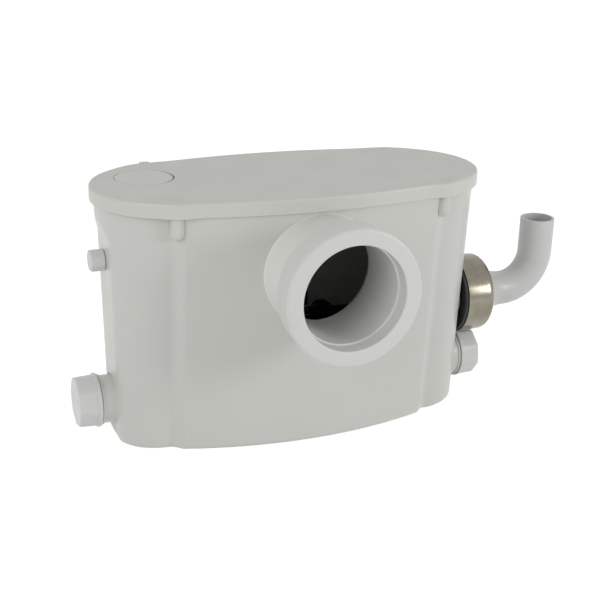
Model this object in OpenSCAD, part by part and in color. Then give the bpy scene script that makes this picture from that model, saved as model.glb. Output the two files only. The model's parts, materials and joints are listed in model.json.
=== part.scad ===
/* [Tank] */
// Height from the floor to the top of the lid
unit_h = 258; // [245:1:275]
// Half length of the tank at its rim
tank_half_l = 196.5; // [180:0.5:215]
// Half depth of the tank at the middle of its rim
tank_half_d = 87.5; // [80:0.5:96]
// How far each end leans in from the rim to the floor
end_draft = 6; // [2:0.5:9]
// How far the middle of the front leans in from the rim to the floor
front_draft = 9.5; // [5:0.5:13]
// Length of an end lobe, from the valley beside it to the end of the rim
lobe_l = 55.5; // [50:0.5:62]
// Half depth of the rim at the valley
valley_half_d = 66; // [60:0.5:72]
// How far the valley leans in from the rim to the floor
valley_draft = 16.5; // [10:0.5:20]
// Step from the lobe forward to the front panel at the valley
valley_step = 4.5; // [2:0.5:7]
// Width over which that step blends
valley_w = 14; // [8:1:22]
// Wall thickness
wall = 4; // [3:0.25:5]
// Floor thickness
floor_t = 4; // [3:0.25:5]
// Radius along the bottom edge
floor_edge_r = 7; // [5:0.5:10]
// How far the flat end panel lies inside the rim's end
end_flat_depth = 7; // [5:0.25:9]
// Height of the flat end panel
end_flat_top = 212; // [195:1:220]
// Height of the flare from the end panel out to the rim
end_flare_h = 20; // [12:1:26]

/* [Lid] */
// Thickness of the lid's plate
lid_t = 4; // [3.5:0.25:5]
// Depth of the lid's skirt
lid_skirt = 14.5; // [12:0.5:18]
// Thickness of the lid's skirt
lid_wall = 2.5; // [2:0.25:3]
// Gap between the skirt and the tank
lid_gap = 1; // [0.8:0.1:1.5]
// Thickness of the seal on the rim
seal_t = 2; // [1.5:0.25:3]
// Radius of a corner screw boss
boss_r = 6.5; // [5.5:0.25:8]
// Straight length of a corner screw boss
boss_len = 24; // [20:1:30]
// Radius of a lid screw
lid_screw_r = 2; // [1.75:0.25:2.5]
// Length of a lid screw under its head
lid_screw_l = 24; // [18:1:26]
// Thickness of the plugs over the lid screws
plug_t = 1; // [0.75:0.25:1.5]
// How far a plug reaches past the screw head under it
plug_lap = 1.2; // [0.8:0.1:1.8]

/* [Vent] */
// Distance of the vent cap's middle from the left end of the rim
vent_in = 53.5; // [48:0.5:60]
// Distance of the vent cap behind the middle
vent_y = 24; // [10:0.5:26]
// Radius of the vent cap
vent_r = 28.5; // [25:0.5:30]
// Thickness of the vent cap
vent_t = 3; // [2:0.25:4]
// Gap round the vent cap
vent_gap = 0.6; // [0.4:0.1:1]
// Width of the two finger notches in the vent cap's edge
vent_notch_w = 5; // [3:0.5:8]
// Depth of those notches
vent_notch_d = 1.5; // [1:0.25:2.5]
// Wall of the well under the vent cap
well_wall = 2; // [1.5:0.25:2.5]
// Height of the charcoal filter
filter_h = 16; // [10:1:20]

/* [Cable gland] */
// Distance of the cable gland from the corner screw, towards the middle
gland_in = 10; // [9:0.5:30]
// Depth of the gland's hexagon below the top of the lid
gland_drop = 0.75; // [0.5:0.25:2]
// Width of the gland's hexagon across its flats
gland_af = 17; // [15:0.5:19]
// Length of the gland's hexagon
gland_hex_l = 8; // [5:0.5:10]
// Length of the dome behind the hexagon
gland_dome_l = 6; // [4:0.5:8]
// Radius of the gland's thread
gland_thread_r = 5; // [4.5:0.25:5.5]
// Radius of the hole that the cord passes through
cord_hole_r = 3.4; // [3:0.1:4]

/* [Pan inlet] */
// Height of the pan inlet's axis
pan_z = 184; // [170:0.5:190]
// Distance from the middle of the tank to the sleeve's face
pan_reach = 168; // [158:1:180]
// Radius of the bore that takes the pan's spigot
pan_bore_r = 48.5; // [46:0.25:50]
// Radius of the mouth in front of the bore
pan_mouth_r = 50; // [49:0.25:51.5]
// Depth of the mouth
pan_mouth_l = 16; // [10:1:20]
// Outer radius of the inlet tube on the tank
tube_r = 56; // [55:0.25:60]
// Wall of the inlet tube
tube_wall = 3.5; // [3:0.25:4]
// Length of the sleeve's head
head_l = 31; // [24:1:36]
// How far the head laps over the end of the tube
head_lap = 7; // [4:0.5:10]
// Thickness of the sleeve's head where it laps over the tube
head_wall = 7.7; // [5:0.1:9]
// How far the head flares out from its back to its face
head_flare = 2.1; // [1:0.1:5]
// Radius round the edge of the sleeve's face
head_edge_r = 3; // [2:0.25:4]

/* [Side inlets] */
// Height of the side inlets' axis
inlet_z = 41; // [37:0.5:45]
// Radius of a neck
neck_r = 24; // [23:0.25:25]
// Length of the left neck up to its flange
left_neck_l = 8; // [3:0.5:14]
// Length of the right neck up to its flange
right_neck_l = 3.5; // [2.5:0.5:10]
// Radius of the flange behind the cap
neck_flange_r = 25.2; // [24:0.1:26.4]
// Thickness of that flange
neck_flange_t = 2; // [1.5:0.25:3]
// Radius of the threaded end under the cap
thread_r = 22.6; // [21.5:0.1:23.4]
// Length of the threaded end
thread_l = 18; // [15:0.5:22]
// Radius of the bore in a neck
neck_bore_r = 20; // [18:0.1:21]
// Outer radius of a cap
cap_r = 26.4; // [25:0.1:28]
// Number of flats round a cap
cap_flats = 8; // [6:1:16]
// Depth of the flats
cap_flat_d = 1.2; // [0.4:0.1:1.6]
// Turn of the flats about the cap's axis, in degrees
cap_turn = -17; // [-30:1:30]
// How far a cap draws in from its rim to its end
cap_draft = 1; // [0.2:0.1:2]
// Thickness of a cap's end
cap_end_t = 2.6; // [2:0.1:4]
// Length of the plain rim round a cap's open end
cap_rim_l = 3.5; // [2:0.25:5]
// How far that rim stands proud
cap_rim_h = 0.5; // [0.3:0.1:1.2]
// Thickness of the washer in a cap
washer_t = 2; // [1.5:0.1:3]

/* [Stub] */
// Height of the upper left stub
stub_z = 186.5; // [175:0.5:195]
// Radius of the stub's cap
stub_r = 11; // [10:0.25:14]
// Length of the stub's cap
stub_l = 13.5; // [10:0.5:22]
// Radius of the stub under its cap
stub_tube_r = 8.5; // [7.5:0.25:9]
// Radius of the hole in the stub
stub_bore_r = 6; // [5:0.25:6.5]
// Number of flats round the stub's cap
stub_flats = 8; // [6:1:12]

/* [Discharge] */
// Height of the discharge's axis
outlet_z = 110; // [104:0.5:125]
// Radius of the tank's discharge spigot
spigot_r = 25.5; // [24:0.25:28]
// Radius of the bore in the spigot
spigot_bore_r = 20; // [19:0.1:21.5]
// Length of the spigot outside the end panel
spigot_l = 14; // [12:0.5:18]
// Outer radius of the clamp ring
ring_r = 41.5; // [36:0.25:44]
// Width of the clamp ring
ring_l = 32.5; // [28:0.5:38]
// Thickness of the clamp ring
ring_t = 1.2; // [0.8:0.1:1.6]
// Radius of the clamp ring's shoulder
ring_shoulder = 9; // [5:0.5:12]
// Bare length of rubber between the end panel and the ring
ring_stand = 1.5; // [1:0.25:3]
// Outer radius of the discharge pipe
pipe_r = 18.5; // [16:0.25:21]
// Wall of the discharge pipe
pipe_wall = 3; // [2.5:0.25:3.5]
// Radius of the bend's centre line
bend_r = 40; // [36:1:46]
// Straight pipe between the flare and the bend
pipe_run = 1.5; // [1:0.5:24]
// Length of the upright leg above the bend
leg_l = 37.5; // [25:0.5:60]
// Length of the flare from the root down to the pipe
flare_l = 24; // [14:1:34]

/* [Flaps] */
// Thickness of a flap
flap_t = 2.5; // [2:0.1:3]
// Radius of the side inlets' flaps
inlet_flap_r = 19; // [18:0.1:20]
// Radius of the discharge flap
outlet_flap_r = 14; // [11:0.1:14.6]
// Radius of a flap's hinge pin
flap_pin_r = 1; // [0.8:0.1:1.2]
// Radius of the barrel round the hinge pin
flap_barrel_r = 2; // [1.6:0.1:2.4]

/* [Motor] */
// Height of the motor's shaft
shaft_z = 62; // [60:0.5:70]
// Radius of the shaft
shaft_r = 6; // [5:0.25:7]
// Outer radius of the motor's housing
motor_r = 44; // [41:0.25:47]
// Wall of the motor's housing
motor_wall = 3.5; // [3:0.25:4]
// Length of the motor's housing, with its flange
motor_l = 88; // [80:1:92]
// Radius of the flanges that carry the basket
flange_r = 54; // [52.5:0.25:56]
// Thickness of those flanges
flange_t = 5; // [4:0.25:6]
// Thickness of the motor's end cap
end_cap_t = 4; // [3:0.25:5]
// Radius of the stator's bore
stator_bore_r = 25; // [23:0.25:27]
// Length of the stator
stator_l = 42; // [36:1:46]
// Length of the end turns on each side of the stator
winding_l = 8; // [5:0.5:9]
// Air gap between the rotor and the stator
air_gap = 0.4; // [0.3:0.05:0.6]
// Outer radius of a bearing
bearing_r = 14; // [12:0.25:16]
// Width of a bearing
bearing_w = 8; // [6:0.5:9]
// Half width of the cradle
cradle_half_w = 30; // [26:0.5:32]
// Length of the cradle
cradle_l = 56; // [40:1:60]
// Depth of the cradle's sides below the shaft
cradle_drop = 30; // [25:0.5:36]

/* [Pump] */
// Distance from the middle to the motor flange's face, to the left
basket_left = 50; // [46:0.5:52]
// Length of the basket
basket_l = 92; // [86:0.5:96]
// Outer radius of the basket
basket_r = 51; // [49:0.25:52]
// Thickness of the basket
basket_t = 3; // [2:0.25:4]
// Radius of the holes in the basket
basket_hole_r = 4; // [3:0.25:5]
// Number of holes along the basket
basket_rows = 5; // [4:1:6]
// Radius that the cutter sweeps
cutter_r = 43; // [40:0.5:44]
// Length of the cutter's tip blades
cutter_l = 60; // [50:1:66]
// Thickness of the cutter's arms
cutter_t = 4; // [3:0.25:5]
// Width of the cutter's arms
cutter_w = 12; // [10:0.5:16]
// Length of the cutter's hub
cutter_hub_l = 20; // [14:0.5:28]
// Radius of the impeller
impeller_r = 34; // [30:0.5:36]
// Gap in front of the impeller
impeller_front = 3; // [2:0.25:5]
// Gap behind the impeller
impeller_back = 4; // [2:0.25:6]
// Number of vanes on the impeller
vanes = 6; // [4:1:8]
// Radius of the volute's chamber
chamber_r = 40; // [38:0.25:42]
// Length of the volute's chamber
chamber_l = 22; // [19:0.5:26]
// Wall of the volute
volute_wall = 6.5; // [5.5:0.25:8]
// Radius of the suction eye
eye_r = 18; // [15:0.5:20]
// Distance of the volute's outlet behind the shaft
volute_out_y = 10; // [4:0.5:14]
// Height of the volute's outlet above the shaft
volute_out_h = 27; // [22:0.5:30]
// Radius of a hose spigot
barb_r = 12; // [10.5:0.25:13]
// Bore of a hose spigot
barb_bore_r = 9; // [7.5:0.25:9.5]
// Length of a hose spigot
barb_l = 14; // [12:0.5:16]
// Wall of the hose
hose_wall = 3; // [2.5:0.25:3.5]
// Radius of the tie bars
tie_r = 2.5; // [2:0.25:3]

/* [Electrics] */
// Length of the dry box on the motor
box_l = 66; // [60:1:70]
// Width of the dry box
box_w = 52; // [48:1:60]
// Height of the dry box
box_h = 42; // [38:1:50]
// Wall of the dry box
box_wall = 2.5; // [2:0.25:3]
// Radius of the capacitor
capacitor_r = 15; // [13:0.5:16]
// Length of the capacitor
capacitor_l = 52; // [40:1:54]

/* [Level switch] */
// Distance of the air chamber from the right end panel
switch_in = 69.5; // [66:0.5:80]
// Distance of the air chamber in front of the middle
switch_y = 32; // [28:0.5:33]
// Radius of the air chamber
air_r = 13; // [11:0.25:15]
// Wall of the air chamber
air_wall = 2; // [1.5:0.25:2.5]
// Height of the air chamber
air_h = 160; // [140:1:166]
// Radius of the switch's flange
switch_r = 24; // [22:0.25:25]
// Height of the cap over the diaphragm
switch_cap_h = 12; // [10:0.5:14]
// Travel of the plunger and the button
switch_travel = 1.5; // [1:0.1:2]
// Radius of the plunger
plunger_r = 3; // [2.5:0.25:4]

/* [Fits] */
// Gap between fixed pieces that seat in each other
fit = 0.2; // [0.1:0.05:0.3]
// Gap between pieces that move past each other
play = 0.4; // [0.3:0.05:0.6]
// Running gap round a shaft or hinge pin
run = 0.05; // [0.02:0.01:0.08]

/* [Hidden] */
$fn = 96;

// Heights and end faces that the other pieces refer to
rim_z = unit_h - lid_t - seal_t;
end_x = tank_half_l - end_flat_depth;
valley_x = tank_half_l - lobe_l;

// Points in each stretch of a quarter of the tank's outline
front_n = 8;
blend_n = 6;
lobe_n = 10;
// Half angle of the smallest flat left at the end of a lobe
lobe_tip_a = 1.5;

function lerp(a, b, k) = a + (b - a) * k;

// Centre of the end lobe's arc, which passes through the valley and the end
function lobe_centre(valley, half_l) =
    (half_l * half_l - valley_x * valley_x - valley * valley) / (2 * (half_l - valley_x));

// Depth at x of an arc that has depth d in the middle and depth e at x = w
function bow(x, d, e, w) = let (s = d - e, r = (w * w + s * s) / (2 * s)) d - r + sqrt(r * r - x * x);

// How far out the flat end panel lies at a height
function panel_x(z) = end_x + max(0, z - end_flat_top) * (end_flat_depth + 1) / end_flare_h;

// Front right quarter of the tank's outline, from the middle of the front to the end panel
function tank_quarter(z, inset) =
    let (k = z / rim_z,
         d = lerp(tank_half_d - front_draft, tank_half_d, k) - inset,
         v = lerp(valley_half_d - valley_draft, valley_half_d, k) - inset,
         l = lerp(tank_half_l - end_draft, tank_half_l, k) - inset,
         c = lobe_centre(v, l),
         r = l - c,
         valley_a = -atan2(v, valley_x - c),
         panel = min((panel_x(z) - inset - c) / r, cos(lobe_tip_a)),
         ridge_x = valley_x - valley_w)
    concat(
        [for (i = [0 : front_n - 1])
            let (x = ridge_x * i / front_n) [x, -bow(x, d, v + valley_step, valley_x)]],
        [for (i = [0 : blend_n - 1])
            let (t = i / blend_n, x = ridge_x + valley_w * t, s = t * t * (3 - 2 * t))
            [x, -lerp(bow(x, d, v + valley_step, valley_x), sqrt(r * r - (x - c) * (x - c)), s)]],
        [for (i = [0 : lobe_n])
            let (a = lerp(valley_a, -acos(panel), i / lobe_n)) [c + r * cos(a), r * sin(a)]]);

// Whole outline, counter-clockwise from the middle of the front
function tank_outline(z, inset) =
    let (q = tank_quarter(z, inset),
         n = len(q),
         right = concat(q, [for (i = [n - 1 : -1 : 0]) [q[i][0], -q[i][1]]]))
    concat(right, [for (i = [2 * n - 2 : -1 : 1]) [-right[i][0], right[i][1]]]);

// Solid through the outlines at a list of [height, inset]
module loft(levels) {
    rings = [for (lv = levels) tank_outline(lv[0], lv[1])];
    n = len(rings[0]);
    m = len(levels);
    points = [for (j = [0 : m - 1]) for (p = rings[j]) [p[0], p[1], levels[j][0]]];
    sides = [for (j = [0 : m - 2]) for (i = [0 : n - 1])
        let (a = j * n + i, b = j * n + (i + 1) % n) each [[a, a + n, b + n], [a, b + n, b]]];
    low = [for (i = [0 : n - 1]) i];
    top = [for (i = [n - 1 : -1 : 0]) (m - 1) * n + i];
    polyhedron(points, concat([low], sides, [top]));
}

// Levels of a wall that starts at z0 with a rounded bottom edge
function wall_levels(z0, r, inset, z_top) = concat(
    [for (a = [0 : 30 : 90]) [z0 + r - r * cos(a), inset + r - r * sin(a)]],
    [for (z = [lerp(z0, end_flat_top, 0.5), end_flat_top, end_flat_top + end_flare_h / 2,
               end_flat_top + end_flare_h, z_top]) [z, inset]]);

// Corner screw bosses under the lid's ears
boss_x = valley_x - 5;
boss_y = valley_half_d + valley_step - 1;
module at_bosses() {
    for (sx = [-1, 1], sy = [-1, 1]) translate([sx * boss_x, sy * boss_y, 0]) children();
}
module boss(r, z_top) {
    translate([0, 0, rim_z - boss_len]) {
        cylinder(r = r, h = z_top - rim_z + boss_len);
        sphere(r = r);
    }
}

// Turns a child's Z axis to point along +X, or along -Y
module along_x(x, z) {
    translate([x, 0, z]) rotate([0, 90, 0]) children();
}
module along_front(y, x, z) {
    translate([x, -y, z]) rotate([90, 0, 0]) children();
}
// Draws a child for the right end on the left end
module left_end() {
    mirror([1, 0, 0]) children();
}

module tube(r, bore, h) {
    difference() {
        cylinder(r = r, h = h);
        translate([0, 0, -1]) cylinder(r = bore, h = h + 2);
    }
}

// Places along the side inlets, measured from the middle
seat_in = 10.5;
seat_x = end_x - seat_in;
function thread_x(neck_l) = end_x + neck_l + neck_flange_t;
function thread_end_x(neck_l) = thread_x(neck_l) + thread_l;
// Places along the discharge
valve_x = end_x - seat_in - 3;
spigot_x = end_x + spigot_l;
// Where the pan tube ends
tube_out_y = pan_reach - head_l + head_lap;
// Notch in the rim for the cable gland
gland_x = boss_x - gland_in;
gland_z = unit_h - gland_drop - gland_af / 2;
notch_half_w = cord_hole_r + 0.6;

// Shell with the discharge spigot, and the openings for what is moulded through its walls
neck_root_r = neck_r + 1;
module side_hole() {
    along_x(seat_x - 1, inlet_z) cylinder(r = neck_root_r + fit, h = seat_in + 3);
}
module tank() {
    color("#d9d9d4") difference() {
        union() {
            difference() {
                loft(wall_levels(0, floor_edge_r, 0, rim_z));
                loft(wall_levels(floor_t, floor_edge_r, wall, rim_z + 1));
            }
            along_x(valve_x, outlet_z) cylinder(r = spigot_r, h = spigot_x - valve_x);
        }
        at_bosses() boss(boss_r + fit, rim_z + 1);
        along_front(0, 0, pan_z) cylinder(r = tube_r - tube_wall, h = pan_reach);
        side_hole();
        left_end() side_hole();
        left_end() along_x(end_x - wall - 3, stub_z) cylinder(r = stub_tube_r + fit, h = wall + 6);
        along_x(valve_x - 1, outlet_z) cylinder(r = spigot_bore_r, h = spigot_x - valve_x + 2);
        translate([-gland_x - notch_half_w, 0, gland_z - notch_half_w])
            cube([2 * notch_half_w, tank_half_d, lid_skirt]);
    }
}
module corner_bosses() {
    color("#d9d9d4") at_bosses() difference() {
        boss(boss_r, rim_z);
        translate([0, 0, rim_z - boss_len - 1]) cylinder(r = lid_screw_r + fit, h = boss_len + 2);
    }
}

// Side inlet, drawn on the right end: root in the wall, neck, flange and threaded end
module side_neck(neck_l) {
    color("#d9d9d4") difference() {
        union() {
            along_x(seat_x, inlet_z) cylinder(r = neck_root_r, h = seat_in);
            along_x(seat_x, inlet_z) cylinder(r = neck_r, h = seat_in + neck_l);
            along_x(end_x + neck_l, inlet_z) cylinder(r = neck_flange_r, h = neck_flange_t);
            along_x(end_x + neck_l, inlet_z) cylinder(r = thread_r, h = neck_flange_t + thread_l);
        }
        along_x(seat_x - 1, inlet_z) cylinder(r = neck_bore_r, h = thread_end_x(neck_l) - seat_x + 2);
    }
}
module left_neck() { left_end() side_neck(left_neck_l); }
module right_neck() { side_neck(right_neck_l); }
module stub_tube() {
    color("#d9d9d4") left_end() along_x(end_x - wall - 2, stub_z)
        tube(stub_tube_r, stub_bore_r, wall + stub_l - 2);
}

// Tube that carries the pan sleeve, set against the front wall and cut to its slope
module inlet_tube() {
    color("#d9d9d4") difference() {
        along_front(0, 0, pan_z) tube(tube_r, tube_r - tube_wall, tube_out_y);
        loft(wall_levels(0, floor_edge_r, 0, rim_z));
    }
}

// Plan of the lid, drawn inwards by an inset: front and rear bows, end lobes and four ears
lid_half_d = tank_half_d + lid_gap + lid_wall;
lid_half_l = tank_half_l + lid_gap + lid_wall;
lid_ear_x = valley_x - 2;
lid_ear_d = valley_half_d + valley_step + lid_gap + lid_wall;
lid_ear_r = boss_r + lid_gap + lid_wall;
lid_bow_r = (lid_ear_x ^ 2 + (lid_half_d - lid_ear_d) ^ 2) / (2 * (lid_half_d - lid_ear_d));
lid_lobe_c = (lid_half_l ^ 2 - lid_ear_x ^ 2 - lid_ear_d ^ 2) / (2 * (lid_half_l - lid_ear_x));
module lid_plan(inset) {
    intersection() {
        intersection_for(s = [-1, 1])
            translate([0, s * (lid_half_d - lid_bow_r)]) circle(r = lid_bow_r - inset, $fn = 360);
        square([2 * lid_ear_x, 2 * lid_half_d], center = true);
    }
    for (s = [-1, 1]) translate([s * lid_lobe_c, 0]) circle(r = lid_half_l - lid_lobe_c - inset);
    for (sx = [-1, 1], sy = [-1, 1]) translate([sx * boss_x, sy * boss_y]) circle(r = lid_ear_r - inset);
}

// Well for the charcoal filter, under the vent cap
vent_x = tank_half_l - vent_in;
well_r = vent_r + vent_gap;
filter_z = unit_h - vent_t - play - filter_h;
well_z = filter_z - fit - well_wall;
well_hole_r = 4;
// Screw heads lie in recesses under flush plugs
screw_head_r = lid_screw_r * 2.1;
screw_head_h = 1.6;
plug_r = screw_head_r + plug_lap;
screw_top_z = unit_h - plug_t - fit;
// Flat pad on the lid's skirt that the gland screws into
gland_hex_r = gland_af / sqrt(3);
gland_skirt_y = bow(gland_x, lid_half_d, lid_ear_d, lid_ear_x);
gland_y = max(bow(gland_x - gland_hex_r, lid_half_d, lid_ear_d, lid_ear_x), boss_y + lid_ear_r) + fit;
// Inner end of the gland's thread, inside the skirt all round
gland_in_y = bow(gland_x - gland_thread_r, lid_half_d, lid_ear_d, lid_ear_x) - lid_wall + fit;

module at_vent(z) {
    translate([-vent_x, vent_y, z]) children();
}
module vent_holes(z, h) {
    at_vent(z) for (a = [0 : 60 : 300]) rotate(a) translate([vent_r * 0.55, 0, 0])
        cylinder(r = well_hole_r, h = h);
}

module lid() {
    color("#cfd0cb") difference() {
        union() {
            difference() {
                union() {
                    translate([0, 0, unit_h - lid_skirt]) linear_extrude(lid_skirt) lid_plan(0);
                    translate([-gland_x - gland_hex_r, gland_skirt_y - lid_wall, unit_h - lid_skirt])
                        cube([2 * gland_hex_r, gland_y - gland_skirt_y + lid_wall, lid_skirt]);
                }
                translate([0, 0, unit_h - lid_skirt - 1])
                    linear_extrude(lid_skirt - lid_t + 1) lid_plan(lid_wall);
            }
            at_vent(well_z) cylinder(r = well_r + well_wall, h = unit_h - well_z);
        }
        at_bosses() {
            translate([0, 0, rim_z]) cylinder(r = lid_screw_r + fit, h = unit_h);
            translate([0, 0, screw_top_z - screw_head_h]) cylinder(r = screw_head_r + fit, h = unit_h);
            translate([0, 0, screw_top_z]) cylinder(r = plug_r + fit, h = unit_h);
        }
        at_vent(well_z + well_wall) cylinder(r = well_r, h = unit_h);
        vent_holes(well_z - 1, well_wall + 2);
        translate([-gland_x, gland_skirt_y - 2 * lid_wall, gland_z]) rotate([-90, 0, 0])
            cylinder(r = gland_thread_r + fit, h = lid_half_d);
    }
}

module lid_seal() {
    color("#4a4a4a") difference() {
        union() {
            translate([0, 0, rim_z + play]) linear_extrude(seal_t - play) difference() {
                polygon(tank_outline(rim_z, fit));
                polygon(tank_outline(rim_z, wall - fit));
            }
            at_bosses() translate([0, 0, rim_z + play]) cylinder(r = boss_r - fit, h = seal_t - play);
        }
        at_bosses() translate([0, 0, rim_z - 1]) cylinder(r = lid_screw_r + fit, h = seal_t + 2);
    }
}

module lid_screws() {
    color("#b9b9b5") at_bosses() {
        translate([0, 0, screw_top_z - screw_head_h - lid_screw_l])
            cylinder(r = lid_screw_r, h = lid_screw_l + 1);
        difference() {
            translate([0, 0, screw_top_z - screw_head_h]) cylinder(r = screw_head_r, h = screw_head_h - fit);
            for (a = [0, 90]) translate([0, 0, screw_top_z]) rotate(a)
                cube([screw_head_r * 1.2, 0.8, screw_head_h], center = true);
        }
    }
}

module screw_plugs() {
    color("#cfd0cb") at_bosses() translate([0, 0, unit_h - plug_t]) cylinder(r = plug_r, h = plug_t);
}

module vent_cap() {
    color("#d2d3ce") at_vent(unit_h - vent_t) difference() {
        cylinder(r = vent_r, h = vent_t);
        translate([0, 0, -1]) cylinder(r = vent_r - 3, h = vent_t / 2 + 1);
        for (s = [-1, 1]) translate([s * vent_r, 0, vent_t / 2])
            cube([2 * vent_notch_d, vent_notch_w, vent_t + 1], center = true);
    }
}

module charcoal_filter() {
    color("#2b2b2b") difference() {
        at_vent(filter_z) cylinder(r = vent_r - fit, h = filter_h);
        vent_holes(filter_z - 1, filter_h + 2);
    }
}

module cable_gland() {
    thread_in = gland_y - gland_in_y;
    l = gland_hex_l + gland_dome_l;
    color("#cfd0cb") translate([-gland_x, gland_y, gland_z]) rotate([-90, 0, 0]) difference() {
        union() {
            translate([0, 0, -thread_in]) cylinder(r = gland_thread_r, h = thread_in + 1);
            translate([0, 0, fit]) cylinder(r = gland_hex_r, h = gland_hex_l - fit, $fn = 6);
            translate([0, 0, gland_hex_l - 1]) cylinder(r = gland_af / 2 - 2, h = gland_dome_l + 1);
        }
        translate([0, 0, -thread_in - 1]) cylinder(r = cord_hole_r, h = thread_in + l + 2);
    }
}

// Soft collar that takes the pan's spigot
head_back_r = tube_r + fit + head_wall;
head_face_r = head_back_r + head_flare;
sleeve_in_y = tank_half_d + 0.5;
module inlet_sleeve() {
    head_y = pan_reach - head_l;
    color("#f1f2f2") along_front(0, 0, pan_z) rotate_extrude() difference() {
        union() {
            polygon([
                [pan_bore_r, sleeve_in_y], [tube_r - tube_wall - fit, sleeve_in_y],
                [tube_r - tube_wall - fit, tube_out_y + fit], [tube_r + fit, tube_out_y + fit],
                [tube_r + fit, head_y], [head_back_r, head_y],
                [head_face_r, pan_reach - head_edge_r],
                [head_face_r - head_edge_r, pan_reach - head_edge_r],
                [head_face_r - head_edge_r, pan_reach], [pan_bore_r, pan_reach]]);
            translate([head_face_r - head_edge_r, pan_reach - head_edge_r]) circle(r = head_edge_r);
        }
        translate([0, pan_reach - pan_mouth_l]) square([pan_mouth_r, pan_mouth_l + 1]);
    }
}

// Hinge of a flap: the barrel turns on a pin between two lugs
barrel_half_w = 4;
lug_w = 3;
module lugs(face_x, z) {
    root = 1;
    difference() {
        for (s = [-1, 1]) translate([face_x - root, s * (barrel_half_w + play + lug_w / 2) - lug_w / 2,
                                     z - flap_barrel_r])
            cube([root + play + 2 * flap_barrel_r, lug_w, 2 * flap_barrel_r]);
        translate([face_x + play + flap_barrel_r, -barrel_half_w * 3, z]) rotate([-90, 0, 0])
            cylinder(r = flap_pin_r + run, h = barrel_half_w * 6);
    }
}
module flap(face_x, r, hinge_z) {
    x = face_x + play + flap_barrel_r;
    difference() {
        union() {
            translate([face_x + play, 0, 0]) rotate([0, 90, 0]) cylinder(r = r, h = flap_t);
            translate([face_x + play, -barrel_half_w, 0]) cube([flap_t, 2 * barrel_half_w, hinge_z]);
            translate([x, -barrel_half_w, hinge_z]) rotate([-90, 0, 0])
                cylinder(r = flap_barrel_r, h = 2 * barrel_half_w);
        }
        translate([x, -barrel_half_w - 1, hinge_z]) rotate([-90, 0, 0])
            cylinder(r = flap_pin_r + run, h = 2 * barrel_half_w + 2);
    }
}
module flap_pin(face_x, hinge_z) {
    half = barrel_half_w + play + lug_w;
    translate([face_x + play + flap_barrel_r, -half, hinge_z]) rotate([-90, 0, 0])
        cylinder(r = flap_pin_r, h = 2 * half);
}

// Side inlets: the seat is pressed into the neck from inside, and its flap opens inwards
seat_flange_t = 3;
seat_wall = 3;
inlet_hinge_z = inlet_flap_r + flap_barrel_r + 1;
module inlet_seat() {
    translate([-seat_x, 0, inlet_z]) {
        rotate([0, 90, 0]) difference() {
            union() {
                translate([0, 0, fit]) cylinder(r = neck_root_r, h = seat_flange_t - fit);
                translate([0, 0, -seat_in]) cylinder(r = neck_bore_r - fit, h = seat_in + 1);
            }
            translate([0, 0, -seat_in - 1]) cylinder(r = neck_bore_r - fit - seat_wall, h = seat_in + 6);
        }
        lugs(seat_flange_t, inlet_hinge_z);
    }
}
module inlet_flap() {
    translate([-seat_x, 0, inlet_z]) flap(seat_flange_t, inlet_flap_r, inlet_hinge_z);
}
module inlet_flap_pin() {
    translate([-seat_x, 0, inlet_z]) flap_pin(seat_flange_t, inlet_hinge_z);
}

// Screw cap and its washer, drawn on the right end
cap_stand = 0.7;
cap_depth = thread_l - cap_stand + washer_t + fit;
module cap_washer(neck_l) {
    along_x(thread_end_x(neck_l) + fit, inlet_z) tube(thread_r - fit, neck_bore_r - 2, washer_t - fit);
}
module screw_cap(neck_l) {
    l = cap_depth + cap_end_t;
    along_x(thread_x(neck_l) + cap_stand, inlet_z) difference() {
        union() {
            cylinder(r = cap_r + cap_rim_h, h = cap_rim_l);
            difference() {
                cylinder(r1 = cap_r, r2 = cap_r - cap_draft, h = l);
                for (i = [0 : cap_flats - 1]) rotate(cap_turn + i * 360 / cap_flats)
                    translate([cap_r - cap_flat_d, 0, 0]) rotate([0, -atan(cap_draft / l), 0])
                    translate([0, -cap_r, -1]) cube([cap_r, 2 * cap_r, 2 * l]);
            }
        }
        translate([0, 0, -1]) cylinder(r = thread_r + play, h = cap_depth + 1);
    }
}

module left_valve_seat() { color("#e4e4e0") inlet_seat(); }
module left_flap() { color("#333333") inlet_flap(); }
module left_flap_pin() { color("#c8c8c8") inlet_flap_pin(); }
module left_cap_washer() { color("#3a3a3a") left_end() cap_washer(left_neck_l); }
module left_cap() { color("#e3e4e2") left_end() screw_cap(left_neck_l); }
module right_valve_seat() { color("#e4e4e0") mirror([1, 0, 0]) inlet_seat(); }
module right_flap() { color("#333333") mirror([1, 0, 0]) inlet_flap(); }
module right_flap_pin() { color("#c8c8c8") mirror([1, 0, 0]) inlet_flap_pin(); }
module right_cap_washer() { color("#3a3a3a") cap_washer(right_neck_l); }
module right_cap() { color("#e3e4e2") screw_cap(right_neck_l); }

// Small cap pushed over the upper left stub
module stub_cap() {
    stub_end_t = 2.5;
    color("#d8d8d2") left_end() difference() {
        intersection() {
            along_x(end_x + play, stub_z) cylinder(r = stub_r, h = stub_l);
            along_x(end_x + play, stub_z)
                cylinder(r = (stub_r - 0.4) / cos(180 / stub_flats), h = stub_l, $fn = stub_flats);
        }
        along_x(end_x, stub_z) cylinder(r = stub_tube_r + play, h = play + stub_l - stub_end_t);
    }
}

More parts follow.
